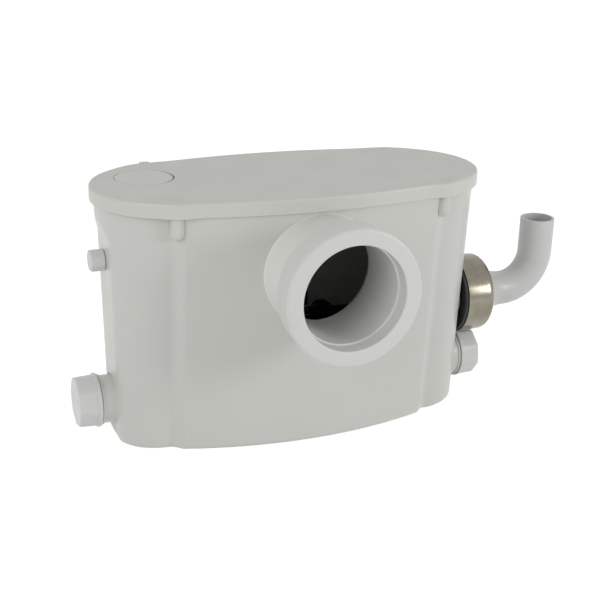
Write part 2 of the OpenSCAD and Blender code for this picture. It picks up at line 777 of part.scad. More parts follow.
// Discharge: the valve seat is pressed in from inside, and its flap opens outwards
valve_flange_t = 3;
valve_spigot_l = 9;
valve_face_x = valve_x + valve_spigot_l;
outlet_hinge_z = spigot_bore_r - flap_barrel_r - 1.8;
module discharge_valve_seat() {
    color("#e4e4e0") {
        along_x(valve_x, outlet_z) difference() {
            union() {
                translate([0, 0, -valve_flange_t - barb_l]) cylinder(r = barb_r, h = barb_l + 1);
                translate([0, 0, -valve_flange_t]) cylinder(r = spigot_r, h = valve_flange_t - fit);
                translate([0, 0, -1]) cylinder(r = spigot_bore_r - fit, h = valve_spigot_l + 1);
            }
            translate([0, 0, -valve_flange_t - barb_l - 1])
                cylinder(r = barb_bore_r, h = valve_flange_t + barb_l + valve_spigot_l + 2);
        }
        translate([valve_face_x, 0, outlet_z]) lugs(0, outlet_hinge_z);
    }
}
module discharge_flap() {
    color("#333333") translate([valve_face_x, 0, outlet_z]) flap(0, outlet_flap_r, outlet_hinge_z);
}
module discharge_flap_pin() {
    color("#c8c8c8") translate([valve_face_x, 0, outlet_z]) flap_pin(0, outlet_hinge_z);
}

// Section of a cup with a rounded shoulder at its far end
module shoulder_section(r, l, c) {
    square([r - c, l]);
    square([r, l - c]);
    translate([r - c, l - c]) circle(r = c);
}
ring_x = end_x + ring_stand;
ring_end_x = ring_x + ring_l;
sleeve_bore_r = spigot_r + play;
ring_mouth_r = spigot_r + 1.5;
module discharge_sleeve() {
    l = ring_end_x - ring_t - fit - end_x - play;
    color("#1c1c1c") along_x(end_x + play, outlet_z) rotate_extrude() difference() {
        shoulder_section(ring_r - ring_t - fit, l, ring_shoulder - ring_t);
        square([sleeve_bore_r, l + 1]);
    }
}
module clamp_ring() {
    color("#b7b2a6") along_x(ring_x, outlet_z) rotate_extrude() difference() {
        shoulder_section(ring_r, ring_l, ring_shoulder);
        translate([0, -1]) shoulder_section(ring_r - ring_t, ring_l - ring_t + 1, ring_shoulder - ring_t);
        square([ring_mouth_r, ring_l + 1]);
    }
}

// Elbow: flared root in the sleeve, bend and upright leg
elbow_x = spigot_x + 2.5;
flare_x = ring_end_x + 3;
pipe_x = flare_x + flare_l;
bend_x = pipe_x + pipe_run;
root_wall = 3.5;
// Arc of the flare, from the root's radius down to the pipe's
flare_drop = spigot_r - pipe_r;
flare_arc_r = (flare_l ^ 2 + flare_drop ^ 2) / (2 * flare_drop);
module elbow_run(r, extra) {
    along_x(pipe_x - 1, outlet_z) cylinder(r = r, h = pipe_run + 1);
    translate([bend_x, 0, outlet_z + bend_r]) rotate([90, 0, 0]) rotate(-90)
        rotate_extrude(angle = 90) translate([bend_r, 0]) circle(r = r);
    translate([bend_x + bend_r, 0, outlet_z + bend_r]) cylinder(r = r, h = leg_l + extra);
}
module discharge_elbow() {
    color("#cfd0ce") difference() {
        union() {
            along_x(elbow_x, outlet_z) rotate_extrude() difference() {
                square([spigot_r, pipe_x - elbow_x]);
                translate([pipe_r + flare_arc_r, pipe_x - elbow_x]) circle(r = flare_arc_r, $fn = 180);
            }
            elbow_run(pipe_r, 0);
        }
        along_x(elbow_x - 1, outlet_z) cylinder(r = spigot_r - root_wall, h = flare_x - elbow_x + 1);
        along_x(flare_x - 0.01, outlet_z)
            cylinder(r1 = spigot_r - root_wall, r2 = pipe_r - pipe_wall, h = flare_l);
        elbow_run(pipe_r - pipe_wall, 1);
    }
}

// Motor: housing with its front flange, on a cradle on the floor
flange_x = -basket_left;
motor_x = flange_x - motor_l;
hub_r = bearing_r + 4;
hub_l = bearing_w + 8;
pad_h = 2;
pad_half_w = 22;
box_z = shaft_z + motor_r + pad_h;
stator_x = motor_x + (motor_l - flange_t - stator_l) / 2 - 2;

module motor_cradle() {
    x = motor_x + (motor_l - flange_t - cradle_l) / 2;
    color("#3c3e41") difference() {
        translate([x, -cradle_half_w, floor_t])
            cube([cradle_l, 2 * cradle_half_w, shaft_z - floor_t - cradle_drop]);
        along_x(x - 1, shaft_z) cylinder(r = motor_r + fit, h = cradle_l + 2);
    }
}
module motor_housing() {
    inner_l = motor_l - flange_t;
    color("#a9adb1") difference() {
        union() {
            along_x(motor_x, shaft_z) cylinder(r = motor_r, h = motor_l);
            along_x(flange_x - flange_t, shaft_z) cylinder(r = flange_r, h = flange_t);
            translate([motor_x + 4, -pad_half_w, shaft_z]) cube([box_l, 2 * pad_half_w, motor_r + pad_h]);
        }
        along_x(motor_x - 1, shaft_z) difference() {
            cylinder(r = motor_r - motor_wall, h = inner_l + 1);
            translate([0, 0, inner_l - hub_l + 1]) cylinder(r = hub_r, h = hub_l);
        }
        along_x(flange_x - flange_t - hub_l - 1, shaft_z) cylinder(r = bearing_r + run, h = hub_l + 1);
        along_x(motor_x, shaft_z) cylinder(r = shaft_r + 3, h = motor_l + 1);
        tie_places(flange_x - flange_t - 1) cylinder(r = tie_r + fit, h = flange_t + 2);
        end_screw_places(motor_x - 1) cylinder(r = end_screw_r + fit, h = end_screw_l + 2);
    }
}
module motor_end_cap() {
    color("#9da1a5") difference() {
        union() {
            along_x(motor_x - end_cap_t, shaft_z) cylinder(r = motor_r, h = end_cap_t - fit);
            along_x(motor_x - 1, shaft_z) cylinder(r = hub_r, h = bearing_w + 1);
        }
        along_x(motor_x - fit, shaft_z) cylinder(r = bearing_r + run, h = bearing_w + 1);
        end_screw_places(motor_x - end_cap_t - 1) cylinder(r = end_screw_r + fit, h = end_cap_t + 2);
    }
}
// Screws of the end cap, in line with the housing's wall
end_screw_r = 1;
end_screw_l = 8;
module end_screw_places(x) {
    for (a = [45 : 90 : 315]) along_x(x, shaft_z) rotate(a)
        translate([motor_r - motor_wall / 2, 0, 0]) children();
}
module end_cap_screws() {
    color("#c2c2c2") end_screw_places(motor_x - end_cap_t - 1.5) {
        cylinder(r = end_screw_r * 1.6, h = 1.4);
        cylinder(r = end_screw_r, h = 1.5 + end_cap_t + end_screw_l);
    }
}
module stator() {
    color("#6d6f73") along_x(stator_x, shaft_z) tube(motor_r - motor_wall - 0.1, stator_bore_r, stator_l);
}
module stator_windings() {
    for (x = [stator_x - winding_l - 0.1, stator_x + stator_l + 0.1])
        color("#a65a2a") along_x(x, shaft_z) tube(motor_r - motor_wall - 3, stator_bore_r + 2, winding_l);
}
module rotor() {
    color("#7d8085") along_x(stator_x, shaft_z) tube(stator_bore_r - air_gap, shaft_r + run, stator_l);
}

// Shaft through the motor, the basket and the impeller
chamber_x = flange_x + basket_l + flange_t;
impeller_x = chamber_x + impeller_front;
impeller_l = chamber_l - impeller_front - impeller_back;
shaft_start_x = motor_x + 0.5;
shaft_end_x = impeller_x + impeller_l - 2;
module shaft() {
    color("#c4c6c9") along_x(shaft_start_x, shaft_z) cylinder(r = shaft_r, h = shaft_end_x - shaft_start_x);
}
module left_bearing() {
    color("#b4b7bb") along_x(motor_x + 0.6, shaft_z) tube(bearing_r, shaft_r + run, bearing_w - 1);
}
module right_bearing() {
    color("#b4b7bb") along_x(flange_x - flange_t - hub_l + 1, shaft_z)
        tube(bearing_r, shaft_r + run, bearing_w);
}
module shaft_seal() {
    x = flange_x - flange_t - hub_l + 1 + bearing_w + fit;
    color("#3c3c3c") along_x(x, shaft_z) tube(bearing_r, shaft_r + run, flange_x - flange_t - x - fit);
}

// Slotted trough under the pan inlet, with its chute, held between the two flanges
chute_y = tank_half_d - 13;
chute_z = 62;
module basket_prism() {
    rotate([90, 0, 90]) linear_extrude(basket_l - 2 * fit) children();
}
module basket() {
    inner_r = basket_r - basket_t;
    root = 5;
    color("#303234") translate([flange_x + fit, 0, shaft_z]) difference() {
        union() {
            basket_prism() difference() {
                circle(r = basket_r);
                circle(r = inner_r);
                translate([-basket_r - 1, 0]) square([2 * basket_r + 2, basket_r + 1]);
            }
            basket_prism() polygon([
                [-inner_r - 0.5, -root], [-basket_r + 0.5, -root], [-basket_r + 0.3, root],
                [-chute_y, chute_z], [-chute_y + basket_t, chute_z], [-inner_r - 0.3, root]]);
            basket_prism() translate([inner_r + 0.3, -root]) square([basket_t - 0.8, chute_z - 7]);
        }
        for (i = [0 : basket_rows - 1], a = [-60 : 20 : 60])
            translate([basket_l * (i + 0.5) / basket_rows, 0, 0]) rotate([a, 0, 0])
                translate([0, 0, -basket_r - 1]) cylinder(r = basket_hole_r, h = basket_t + 3);
    }
}
module cutter() {
    x = flange_x + basket_l / 2;
    color("#d0d2d4") translate([x, 0, shaft_z]) difference() {
        union() {
            rotate([0, 90, 0]) cylinder(r = shaft_r + 4, h = cutter_hub_l, center = true);
            translate([-cutter_t / 2, -cutter_w / 2, -cutter_r + 2])
                cube([cutter_t, cutter_w, 2 * cutter_r - 4]);
            intersection() {
                for (s = [-1, 1])
                    translate([-cutter_l / 2, -cutter_t / 2, s > 0 ? cutter_r - 11 : -cutter_r])
                    cube([cutter_l, cutter_t, 11]);
                rotate([0, 90, 0]) cylinder(r = cutter_r, h = 2 * cutter_l, center = true);
            }
        }
        rotate([0, 90, 0]) cylinder(r = shaft_r + run, h = 3 * cutter_l, center = true);
    }
}
// Tie bars that hold the pump to the motor, above the basket's edges
tie_a = 55;
tie_pitch_r = flange_r - tie_r - 2;
module tie_places(x) {
    for (a = [tie_a, 180 - tie_a])
        translate([x, tie_pitch_r * cos(a), shaft_z + tie_pitch_r * sin(a)]) rotate([0, 90, 0]) children();
}
module tie_bars() {
    nut_l = 4;
    l = basket_l + 2 * flange_t;
    color("#c0c2c4") tie_places(flange_x - flange_t) {
        translate([0, 0, -nut_l - 0.5]) cylinder(r = tie_r, h = l + nut_l + 0.5);
        translate([0, 0, -nut_l - fit]) cylinder(r = 2 * tie_r, h = nut_l, $fn = 6);
    }
}

// Pump: cover with the suction eye, impeller and volute on its foot
volute_r = chamber_r + volute_wall;
cover_x = chamber_x - flange_t;
out_x = chamber_x + chamber_l;
out_end_x = out_x + volute_wall + barb_l;
foot_half_w = 22;
module at_outlet(x) {
    translate([x, volute_out_y, shaft_z + volute_out_h]) rotate([0, 90, 0]) children();
}
module volute_cover() {
    color("#303234") difference() {
        along_x(cover_x, shaft_z) cylinder(r = flange_r, h = flange_t - fit);
        along_x(cover_x - 1, shaft_z) cylinder(r = eye_r, h = flange_t + 2);
        volute_screw_places(cover_x - 1) cylinder(r = volute_screw_r + fit, h = flange_t + 2);
        tie_places(cover_x - 1) cylinder(r = tie_r + fit, h = flange_t + 2);
    }
}
module impeller() {
    plate_t = 3;
    color("#55585c") difference() {
        union() {
            along_x(impeller_x + impeller_l - plate_t, shaft_z) cylinder(r = impeller_r, h = plate_t);
            along_x(impeller_x, shaft_z) cylinder(r = shaft_r + 4, h = impeller_l);
            for (i = [0 : vanes - 1]) translate([impeller_x, 0, shaft_z]) rotate([i * 360 / vanes, 0, 0])
                translate([0, shaft_r + 2, -1.25]) cube([impeller_l - 1, impeller_r - shaft_r - 4, 2.5]);
        }
        along_x(impeller_x - 1, shaft_z)
            cylinder(r = shaft_r + run, h = shaft_end_x - impeller_x + 1 + fit);
    }
}
module volute() {
    color("#2c2e30") difference() {
        union() {
            along_x(chamber_x, shaft_z) cylinder(r = volute_r, h = chamber_l + volute_wall);
            at_outlet(out_x) cylinder(r = barb_r, h = out_end_x - out_x);
            translate([chamber_x + 2, -foot_half_w, floor_t])
                cube([chamber_l, 2 * foot_half_w, shaft_z - floor_t - chamber_r + 2]);
        }
        along_x(chamber_x - 1, shaft_z) cylinder(r = chamber_r, h = chamber_l + 1);
        at_outlet(out_x - 1) cylinder(r = barb_bore_r, h = out_end_x - out_x + 2);
        volute_screw_places(chamber_x - 1) cylinder(r = volute_screw_r + fit, h = volute_screw_in + 3);
    }
}
volute_screw_r = 1.5;
volute_screw_in = 10;
module volute_screw_places(x) {
    for (a = [0 : 90 : 270]) along_x(x, shaft_z) rotate(a)
        translate([chamber_r + volute_wall / 2, 0, 0]) children();
}
module volute_screws() {
    color("#c2c2c2") volute_screw_places(cover_x - 1.6) {
        cylinder(r = volute_screw_r * 1.5, h = 1.5);
        cylinder(r = volute_screw_r, h = 1.6 + flange_t + volute_screw_in);
    }
}

// Hose from the volute to the discharge valve, swept along a curve with straight ends
hose_sides = 12;
hose_steps = 12;
hose_bore_r = barb_r / cos(180 / hose_sides) + play;
hose_start = [out_end_x - barb_l + 1, volute_out_y, shaft_z + volute_out_h];
hose_end = [valve_x - valve_flange_t - 1, 0, outlet_z];
hose_grip = 13;
hose_p0 = hose_start + [hose_grip, 0, 0];
hose_p3 = hose_end - [hose_grip, 0, 0];
hose_pull = [(hose_p3[0] - hose_p0[0]) / 2, 0, 0];
function bezier(a, b, c, d, t) =
    a * (1 - t) ^ 3 + b * 3 * t * (1 - t) ^ 2 + c * 3 * t ^ 2 * (1 - t) + d * t ^ 3;
hose_path = concat([hose_start],
    [for (i = [0 : hose_steps])
        bezier(hose_p0, hose_p0 + hose_pull, hose_p3 - hose_pull, hose_p3, i / hose_steps)],
    [hose_end]);
function unit(v) = v / norm(v);
module sweep(path, r) {
    m = len(path);
    n = hose_sides;
    points = [for (j = [0 : m - 1])
        let (t = unit(path[min(j + 1, m - 1)] - path[max(j - 1, 0)]),
             u = unit(cross([0, 1, 0], t)),
             w = cross(t, u))
        for (i = [0 : n - 1]) path[j] + r * (u * cos(i * 360 / n) + w * sin(i * 360 / n))];
    sides = [for (j = [0 : m - 2]) for (i = [0 : n - 1])
        let (a = j * n + i, b = j * n + (i + 1) % n) each [[a, a + n, b + n], [a, b + n, b]]];
    low = [for (i = [0 : n - 1]) i];
    top = [for (i = [n - 1 : -1 : 0]) (m - 1) * n + i];
    polyhedron(points, concat([low], sides, [top]));
}
module discharge_hose() {
    longer = concat([hose_start - [1, 0, 0]], hose_path, [hose_end + [1, 0, 0]]);
    color("#2a2a2a") difference() {
        sweep(hose_path, hose_bore_r + hose_wall);
        sweep(longer, hose_bore_r);
    }
}

// Dry box on the motor's pad
box_x = motor_x + 4;
module electrics_box() {
    color("#dcdcd6") translate([box_x, -box_w / 2, box_z]) difference() {
        cube([box_l, box_w, box_h]);
        translate([box_wall, box_wall, box_wall]) cube([box_l - 2 * box_wall, box_w - 2 * box_wall, box_h]);
    }
}
module electrics_box_lid() {
    lip_h = 3;
    color("#d0d0ca") translate([box_x, -box_w / 2, box_z + box_h]) {
        translate([0, 0, fit / 2]) cube([box_l, box_w, box_wall]);
        translate([box_wall + fit, box_wall + fit, -lip_h])
            cube([box_l - 2 * box_wall - 2 * fit, box_w - 2 * box_wall - 2 * fit, lip_h + 1]);
    }
}
module capacitor() {
    terminal_l = 3;
    color("#e8e8e4") translate([box_x + box_wall + 3, -box_w / 2 + box_wall + fit + capacitor_r,
                                box_z + box_wall + fit / 2 + capacitor_r]) rotate([0, 90, 0]) {
        cylinder(r = capacitor_r, h = capacitor_l);
        for (s = [-1, 1]) translate([0, s * 5, capacitor_l - 0.5]) cylinder(r = 1.5, h = terminal_l);
    }
}
module terminal_block() {
    ways = 3;
    pitch = 10;
    w = 13;
    h = 14;
    y = box_w / 2 - box_wall - fit - w;
    color("#e9e6d8") translate([box_x + box_wall + 8, y, box_z + box_wall + fit / 2])
        difference() {
            cube([ways * pitch, w, h]);
            for (i = [0 : ways - 1]) translate([(i + 0.5) * pitch, w / 2, h / 2]) {
                rotate([90, 0, 0]) cylinder(r = 2.2, h = w + 2, center = true);
                cylinder(r = 2, h = h);
            }
        }
}

// Level switch: air chamber that stands on the floor, diaphragm, cap, plunger and microswitch
air_top_z = floor_t + air_h;
switch_flange_t = 4;
diaphragm_t = 2;
cap_floor_z = air_top_z + diaphragm_t + fit;
cap_top_z = cap_floor_z + switch_cap_h;
plate_r = switch_r * 0.45;
plate_t = 2;
tip_z = cap_top_z + 3;
micro_z = tip_z + switch_travel + 2.2;
switch_x = end_x - switch_in;
module at_switch(z) {
    translate([switch_x, -switch_y, z]) children();
}
module pressure_chamber() {
    notch_h = 8;
    color("#35373a") difference() {
        union() {
            at_switch(floor_t) cylinder(r = air_r, h = air_h);
            at_switch(air_top_z - switch_flange_t) cylinder(r = switch_r, h = switch_flange_t);
        }
        at_switch(floor_t - 1) cylinder(r = air_r - air_wall, h = air_h + 2);
        for (a = [0, 90]) at_switch(floor_t) rotate(a)
            cube([2 * air_r + 2, air_r, 2 * notch_h], center = true);
    }
}
module diaphragm() {
    color("#2f2f2f") at_switch(air_top_z + fit / 2) cylinder(r = switch_r, h = diaphragm_t);
}
module switch_cap() {
    post_w = 4;
    top_t = 2;
    color("#35373a") difference() {
        union() {
            at_switch(cap_floor_z) cylinder(r = switch_r, h = switch_cap_h);
            for (s = [-1, 1]) at_switch(cap_top_z - 1)
                translate([s * 13 - post_w / 2, -4, 0]) cube([post_w, 8, micro_z - cap_top_z + 1]);
        }
        at_switch(cap_floor_z - 1) cylinder(r = switch_r - 3, h = switch_cap_h - top_t + 1);
        at_switch(cap_floor_z) cylinder(r = plunger_r + play, h = switch_cap_h + 1);
    }
}
module switch_plunger() {
    z = air_top_z + diaphragm_t + fit / 2 + 0.3;
    color("#e0b23c") {
        at_switch(z) cylinder(r = plate_r, h = plate_t);
        at_switch(z) cylinder(r = plunger_r, h = tip_z - z);
    }
}
micro_w = 34;
micro_d = 12;
micro_h = 15;
button_r = 2;
module microswitch() {
    color("#26282b") difference() {
        at_switch(micro_z + fit / 2) translate([-micro_w / 2, -micro_d / 2, 0])
            cube([micro_w, micro_d, micro_h]);
        at_switch(micro_z - 1) cylinder(r = button_r + play, h = 2 * switch_travel + 6);
    }
}
module switch_button() {
    color("#c23b2e") at_switch(tip_z + 0.3) cylinder(r = button_r, h = micro_z - tip_z + 2);
}

tank();
corner_bosses();
inlet_tube();
inlet_sleeve();
left_neck();
right_neck();
stub_tube();
left_valve_seat();
left_flap();
left_flap_pin();
left_cap_washer();
left_cap();
right_valve_seat();
right_flap();
right_flap_pin();
right_cap_washer();
right_cap();
stub_cap();
discharge_valve_seat();
discharge_flap();
discharge_flap_pin();
discharge_sleeve();
clamp_ring();
discharge_elbow();
lid();
lid_seal();
lid_screws();
screw_plugs();
vent_cap();
charcoal_filter();
cable_gland();
motor_cradle();
motor_housing();
motor_end_cap();
end_cap_screws();
stator();
stator_windings();
rotor();
shaft();
left_bearing();
right_bearing();
shaft_seal();
basket();
cutter();
tie_bars();
volute_cover();
impeller();
volute();
volute_screws();
discharge_hose();
electrics_box();
electrics_box_lid();
capacitor();
terminal_block();
pressure_chamber();
diaphragm();
switch_cap();
switch_plunger();
microswitch();
switch_button();
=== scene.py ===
import json
import math

import bmesh
import bpy
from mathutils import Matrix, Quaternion, Vector

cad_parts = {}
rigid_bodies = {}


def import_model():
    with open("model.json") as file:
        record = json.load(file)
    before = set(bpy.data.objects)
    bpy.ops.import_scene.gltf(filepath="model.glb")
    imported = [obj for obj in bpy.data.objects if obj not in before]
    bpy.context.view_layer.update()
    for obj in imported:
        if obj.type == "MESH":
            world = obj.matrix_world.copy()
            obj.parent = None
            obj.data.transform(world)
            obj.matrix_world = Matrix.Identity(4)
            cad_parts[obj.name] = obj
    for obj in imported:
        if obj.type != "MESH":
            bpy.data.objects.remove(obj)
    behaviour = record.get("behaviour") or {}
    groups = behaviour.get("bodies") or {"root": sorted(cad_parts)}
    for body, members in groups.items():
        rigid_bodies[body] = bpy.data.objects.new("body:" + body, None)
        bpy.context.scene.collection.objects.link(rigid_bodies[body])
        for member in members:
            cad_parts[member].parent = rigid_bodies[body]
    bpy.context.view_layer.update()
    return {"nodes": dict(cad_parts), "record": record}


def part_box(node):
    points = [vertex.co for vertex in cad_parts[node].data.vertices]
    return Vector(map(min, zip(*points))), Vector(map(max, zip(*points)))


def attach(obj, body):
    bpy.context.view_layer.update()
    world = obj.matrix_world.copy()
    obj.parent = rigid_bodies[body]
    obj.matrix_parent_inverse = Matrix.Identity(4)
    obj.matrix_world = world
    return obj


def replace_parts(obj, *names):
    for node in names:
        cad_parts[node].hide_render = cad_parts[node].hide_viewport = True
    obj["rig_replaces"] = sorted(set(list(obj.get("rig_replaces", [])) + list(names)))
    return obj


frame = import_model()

# Tank
# One deep injection moulding in warm white ABS, with drafted walls, a round lobe at each end and a flat
# panel let into each lobe. It stands on its own floor, and everything else is fixed to it.
MM = 0.001         # all other lengths of the part are in millimetres
weld = 0.002


def cad_box(node):
    """Lowest and highest corner of a CAD node, in millimetres."""
    low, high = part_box(node)
    return low / MM, high / MM


tank_low, tank_high = cad_box("tank")
rim_z = tank_high.z
rim_edge = 0.6
half_length = -tank_low.x
half_depth = tank_high.y
end_draft = 6
front_draft = 9.5
front_steps = 14
lobe_length = 55.5
lobe_soft = 1.6
lobe_steps = 25
valley_x = half_length - lobe_length
valley_half_depth = 66
valley_draft = 16.5
valley_step = 4.5
valley_width = 14
valley_steps = 10
wall = 4
floor_edge = 7
panel_inset = 7
panel_x = half_length - panel_inset
panel_top = 212
panel_lean = 4.7
panel_slope = 0.4
panel_soft = 3


def mix(a, b, k):
    """The value a share k of the way from a to b."""
    return a + (b - a) * k


def soft_min(a, b, width):
    """The smaller of two lengths, with a rounded change from one to the other."""
    return (a + b - math.sqrt((a - b) ** 2 + width ** 2)) / 2


def arc(size, angles):
    """A quarter round of a size, as (rise, side) places at some angles in degrees."""
    turns = [math.radians(a) for a in angles]
    return [(size * (1 - math.cos(t)), size * (1 - math.sin(t))) for t in turns]


def bow(x, middle, end, reach):
    """Depth at x of an arc that is `middle` deep at 0 and `end` deep at `reach`."""
    drop = middle - end
    radius = (reach ** 2 + drop ** 2) / (2 * drop)
    return middle - radius + math.sqrt(radius ** 2 - x ** 2)


def lobe(z, inset):
    """Centre and radius of the end lobe's arc at a height, and the valley's depth there."""
    k = z / rim_z
    valley = mix(valley_half_depth - valley_draft, valley_half_depth, k) - inset
    length = mix(half_length - end_draft, half_length, k) - inset
    centre = (length ** 2 - valley_x ** 2 - valley ** 2) / (2 * (length - valley_x))
    return centre, length - centre, valley


def front_depth(x, z, inset=0):
    """Depth of the front wall at x, from the middle to the valley beside the lobe."""
    centre, radius, valley = lobe(z, inset)
    middle = mix(half_depth - front_draft, half_depth, z / rim_z) - inset
    panel = bow(x, middle, valley + valley_step, valley_x)
    t = max(0, (x - valley_x + valley_width) / valley_width)
    if t == 0:
        return panel
    return mix(panel, math.sqrt(radius ** 2 - (x - centre) ** 2), t * t * (3 - 2 * t))


def panel_face(z):
    """Distance of the flat end panel from the middle of the tank. It leans in towards the floor."""
    return panel_x - panel_lean * max(0, 1 - z / panel_top)


def tank_ring(z, inset):
    """Outline of the tank at a height, drawn inwards by an inset."""
    ridge_x = valley_x - valley_width
    stations = [ridge_x * i / front_steps for i in range(front_steps)]
    stations += [ridge_x + valley_width * i / valley_steps for i in range(valley_steps)]
    quarter = [(x, front_depth(x, z, inset)) for x in stations]
    centre, radius, valley = lobe(z, inset)
    rise = z - panel_top
    panel = panel_face(z) - inset + panel_slope * (rise + math.sqrt(rise ** 2 + panel_soft ** 2)) / 2
    start = math.atan2(valley, valley_x - centre)
    for i in range(lobe_steps + 1):
        angle = start * (1 - i / lobe_steps)
        x = soft_min(centre + radius * math.cos(angle), panel, lobe_soft)
        quarter.append((x, radius * math.sin(angle)))
    right = quarter + [(x, -y) for x, y in quarter[-2::-1]]
    return [(x, -y, z) for x, y in right] + [(-x, -y, z) for x, y in right[-2:0:-1]]


def skin(name, rings, ends):
    """A closed surface drawn ring by ring: a circle is added, set on the first ring and extruded to each
    next one. ends is "fill" to close both ends with a face, or "join" to close the last ring on the first."""
    bpy.ops.object.select_all(action="DESELECT")
    bpy.ops.mesh.primitive_circle_add(vertices=len(rings[0]), radius=1)
    piece = bpy.context.object
    piece.name = name
    piece.data.name = name
    bpy.ops.object.mode_set(mode="EDIT")
    bpy.context.tool_settings.mesh_select_mode = (True, False, False)
    mesh = bmesh.from_edit_mesh(piece.data)
    place = mesh.verts.layers.int.new("place")
    for index, vertex in enumerate(mesh.verts):
        vertex[place] = index
    for number, ring in enumerate(rings + rings[:1] if ends == "join" else rings):
        if number:
            bpy.ops.mesh.extrude_region_move()
        mesh = bmesh.from_edit_mesh(piece.data)
        place = mesh.verts.layers.int["place"]
        for vertex in mesh.verts:
            if vertex.select:
                vertex.co = Vector(ring[vertex[place]]) * MM
    bmesh.update_edit_mesh(piece.data)
    bpy.ops.mesh.select_all(action="SELECT")
    bpy.ops.mesh.remove_doubles(threshold=weld * MM)
    if ends == "fill":
        bpy.ops.mesh.fill_holes(sides=0)
    bpy.ops.mesh.normals_make_consistent(inside=False)
    bpy.ops.object.mode_set(mode="OBJECT")
    piece.data.attributes.remove(piece.data.attributes["place"])
    return piece


def smooth(piece, angle=32):
    """Smooth shading up to an angle, with sharp edges past it."""
    bpy.ops.object.select_all(action="DESELECT")
    piece.select_set(True)
    bpy.context.view_layer.objects.active = piece
    bpy.ops.object.shade_smooth_by_angle(angle=math.radians(angle))


def cut(piece, cutters):
    """Takes the cutters out of a piece and deletes them."""
    for cutter in cutters:
        bpy.ops.object.select_all(action="DESELECT")
        piece.select_set(True)
        bpy.context.view_layer.objects.active = piece
        boolean = piece.modifiers.new("cut", "BOOLEAN")
        boolean.operation = "DIFFERENCE"
        boolean.solver = "EXACT"
        boolean.object = cutter
        bpy.ops.object.modifier_apply(modifier=boolean.name)
        bpy.data.objects.remove(cutter)


def drill(axis, at, radius, start, end, sides=96):
    """A round cutter along X, Y or Z through a point, between two places on that axis."""
    turn = {"X": (0, math.pi / 2, 0), "Y": (math.pi / 2, 0, 0), "Z": (0, 0, 0)}[axis]
    middle = Vector(at)
    middle["XYZ".index(axis)] = (start + end) / 2
    bpy.ops.object.select_all(action="DESELECT")
    bpy.ops.mesh.primitive_cylinder_add(
        vertices=sides, radius=radius * MM, depth=(end - start) * MM, location=middle * MM, rotation=turn)
    return bpy.context.object


def end_hole(sign, z, radius):
    """A cutter through the wall of the left (-1) or the right (1) end."""
    inner, outer = half_length - 30, half_length + 10
    return drill("X", (0, 0, z), radius, *sorted((sign * inner, sign * outer)))


def dress(piece, material, body, slot, *nodes):
    """Gives a finished piece its material, the body it rides on and the nodes it stands for. The slot is not used."""
    piece.data.materials.clear()
    piece.data.materials.append(material)
    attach(piece, body)
    if nodes:
        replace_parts(piece, *nodes)


def linear(code):
    """An sRGB hex colour as the linear colour that a socket takes."""
    parts = [int(code[i:i + 2], 16) / 255 for i in (1, 3, 5)]
    return [p / 12.92 if p <= 0.04045 else ((p + 0.055) / 1.055) ** 2.4 for p in parts] + [1]


def add_node(tree, kind, sockets=None, links=None, **settings):
    """Adds a node, with its settings, socket values and links."""
    node = tree.nodes.new(kind)
    for name, value in settings.items():
        setattr(node, name, value)
    for name, value in (sockets or {}).items():
        node.inputs[name].default_value = value
    for name, source in (links or {}).items():
        tree.links.new(source, node.inputs[name])
    return node


def per(size):
    """Texture scale for a feature of a size in millimetres."""
    return 1 / (size * MM)


def moulded(name, pale, deep, roughness, grain_size, grain_depth):
    """Injection-moulded plastic: even colour that drifts a little over the piece, a gloss that varies with
    the mould's polish, and a fine grain. The real grain is finer than a pixel, so it is drawn as coarse as
    it shows. The grain's size and depth are in millimetres."""
    drift_size, polish_size, gloss_swing = 90, 25, 0.05
    material = bpy.data.materials.new(name)
    material.use_nodes = True
    tree = material.node_tree
    shader = tree.nodes["Principled BSDF"]
    shader.inputs["IOR"].default_value = 1.54
    place = add_node(tree, "ShaderNodeTexCoord").outputs["Object"]
    drift = add_node(tree, "ShaderNodeTexNoise", {"Scale": per(drift_size), "Detail": 2}, {"Vector": place})
    tint = add_node(
        tree, "ShaderNodeMix", {6: linear(deep), 7: linear(pale)}, {0: drift.outputs[0]}, data_type="RGBA")
    polish = add_node(tree, "ShaderNodeTexNoise", {"Scale": per(polish_size), "Detail": 3}, {"Vector": place})
    gloss = add_node(
        tree, "ShaderNodeMapRange",
        {"From Min": 0.3, "From Max": 0.7, "To Min": roughness - gloss_swing, "To Max": roughness + gloss_swing},
        {"Value": polish.outputs[0]})
    grain = add_node(tree, "ShaderNodeTexNoise", {"Scale": per(grain_size), "Detail": 2}, {"Vector": place})
    bump = add_node(
        tree, "ShaderNodeBump", {"Strength": 1, "Distance": grain_depth * MM}, {"Height": grain.outputs[0]})
    tree.links.new(tint.outputs[2], shader.inputs["Base Color"])
    tree.links.new(gloss.outputs[0], shader.inputs["Roughness"])
    tree.links.new(bump.outputs[0], shader.inputs["Normal"])
    return material


# The rings go up the outside from the rounded foot, close together where the panel runs out below the rim,
# then over the rim and down the inside.
tank_levels = arc(floor_edge, range(0, 91, 15))
tank_levels += [(z, 0) for z in range(20, 200, 15)]
tank_levels += [(z, 0) for z in range(200, 241, 3)]
tank_levels += [(rim_z - rim_edge, 0), (rim_z, rim_edge), (rim_z, wall - rim_edge), (rim_z - rim_edge, wall)]
tank_levels += [(z, wall) for z in range(230, 206, -6)]
tank_levels += [(z, wall) for z in range(200, 20, -30)]
tank_levels += [(wall + rise, wall + side) for rise, side in arc(floor_edge, range(90, -1, -15))]
tank = skin("tank_shell", [tank_ring(z, inset) for z, inset in tank_levels], "fill")

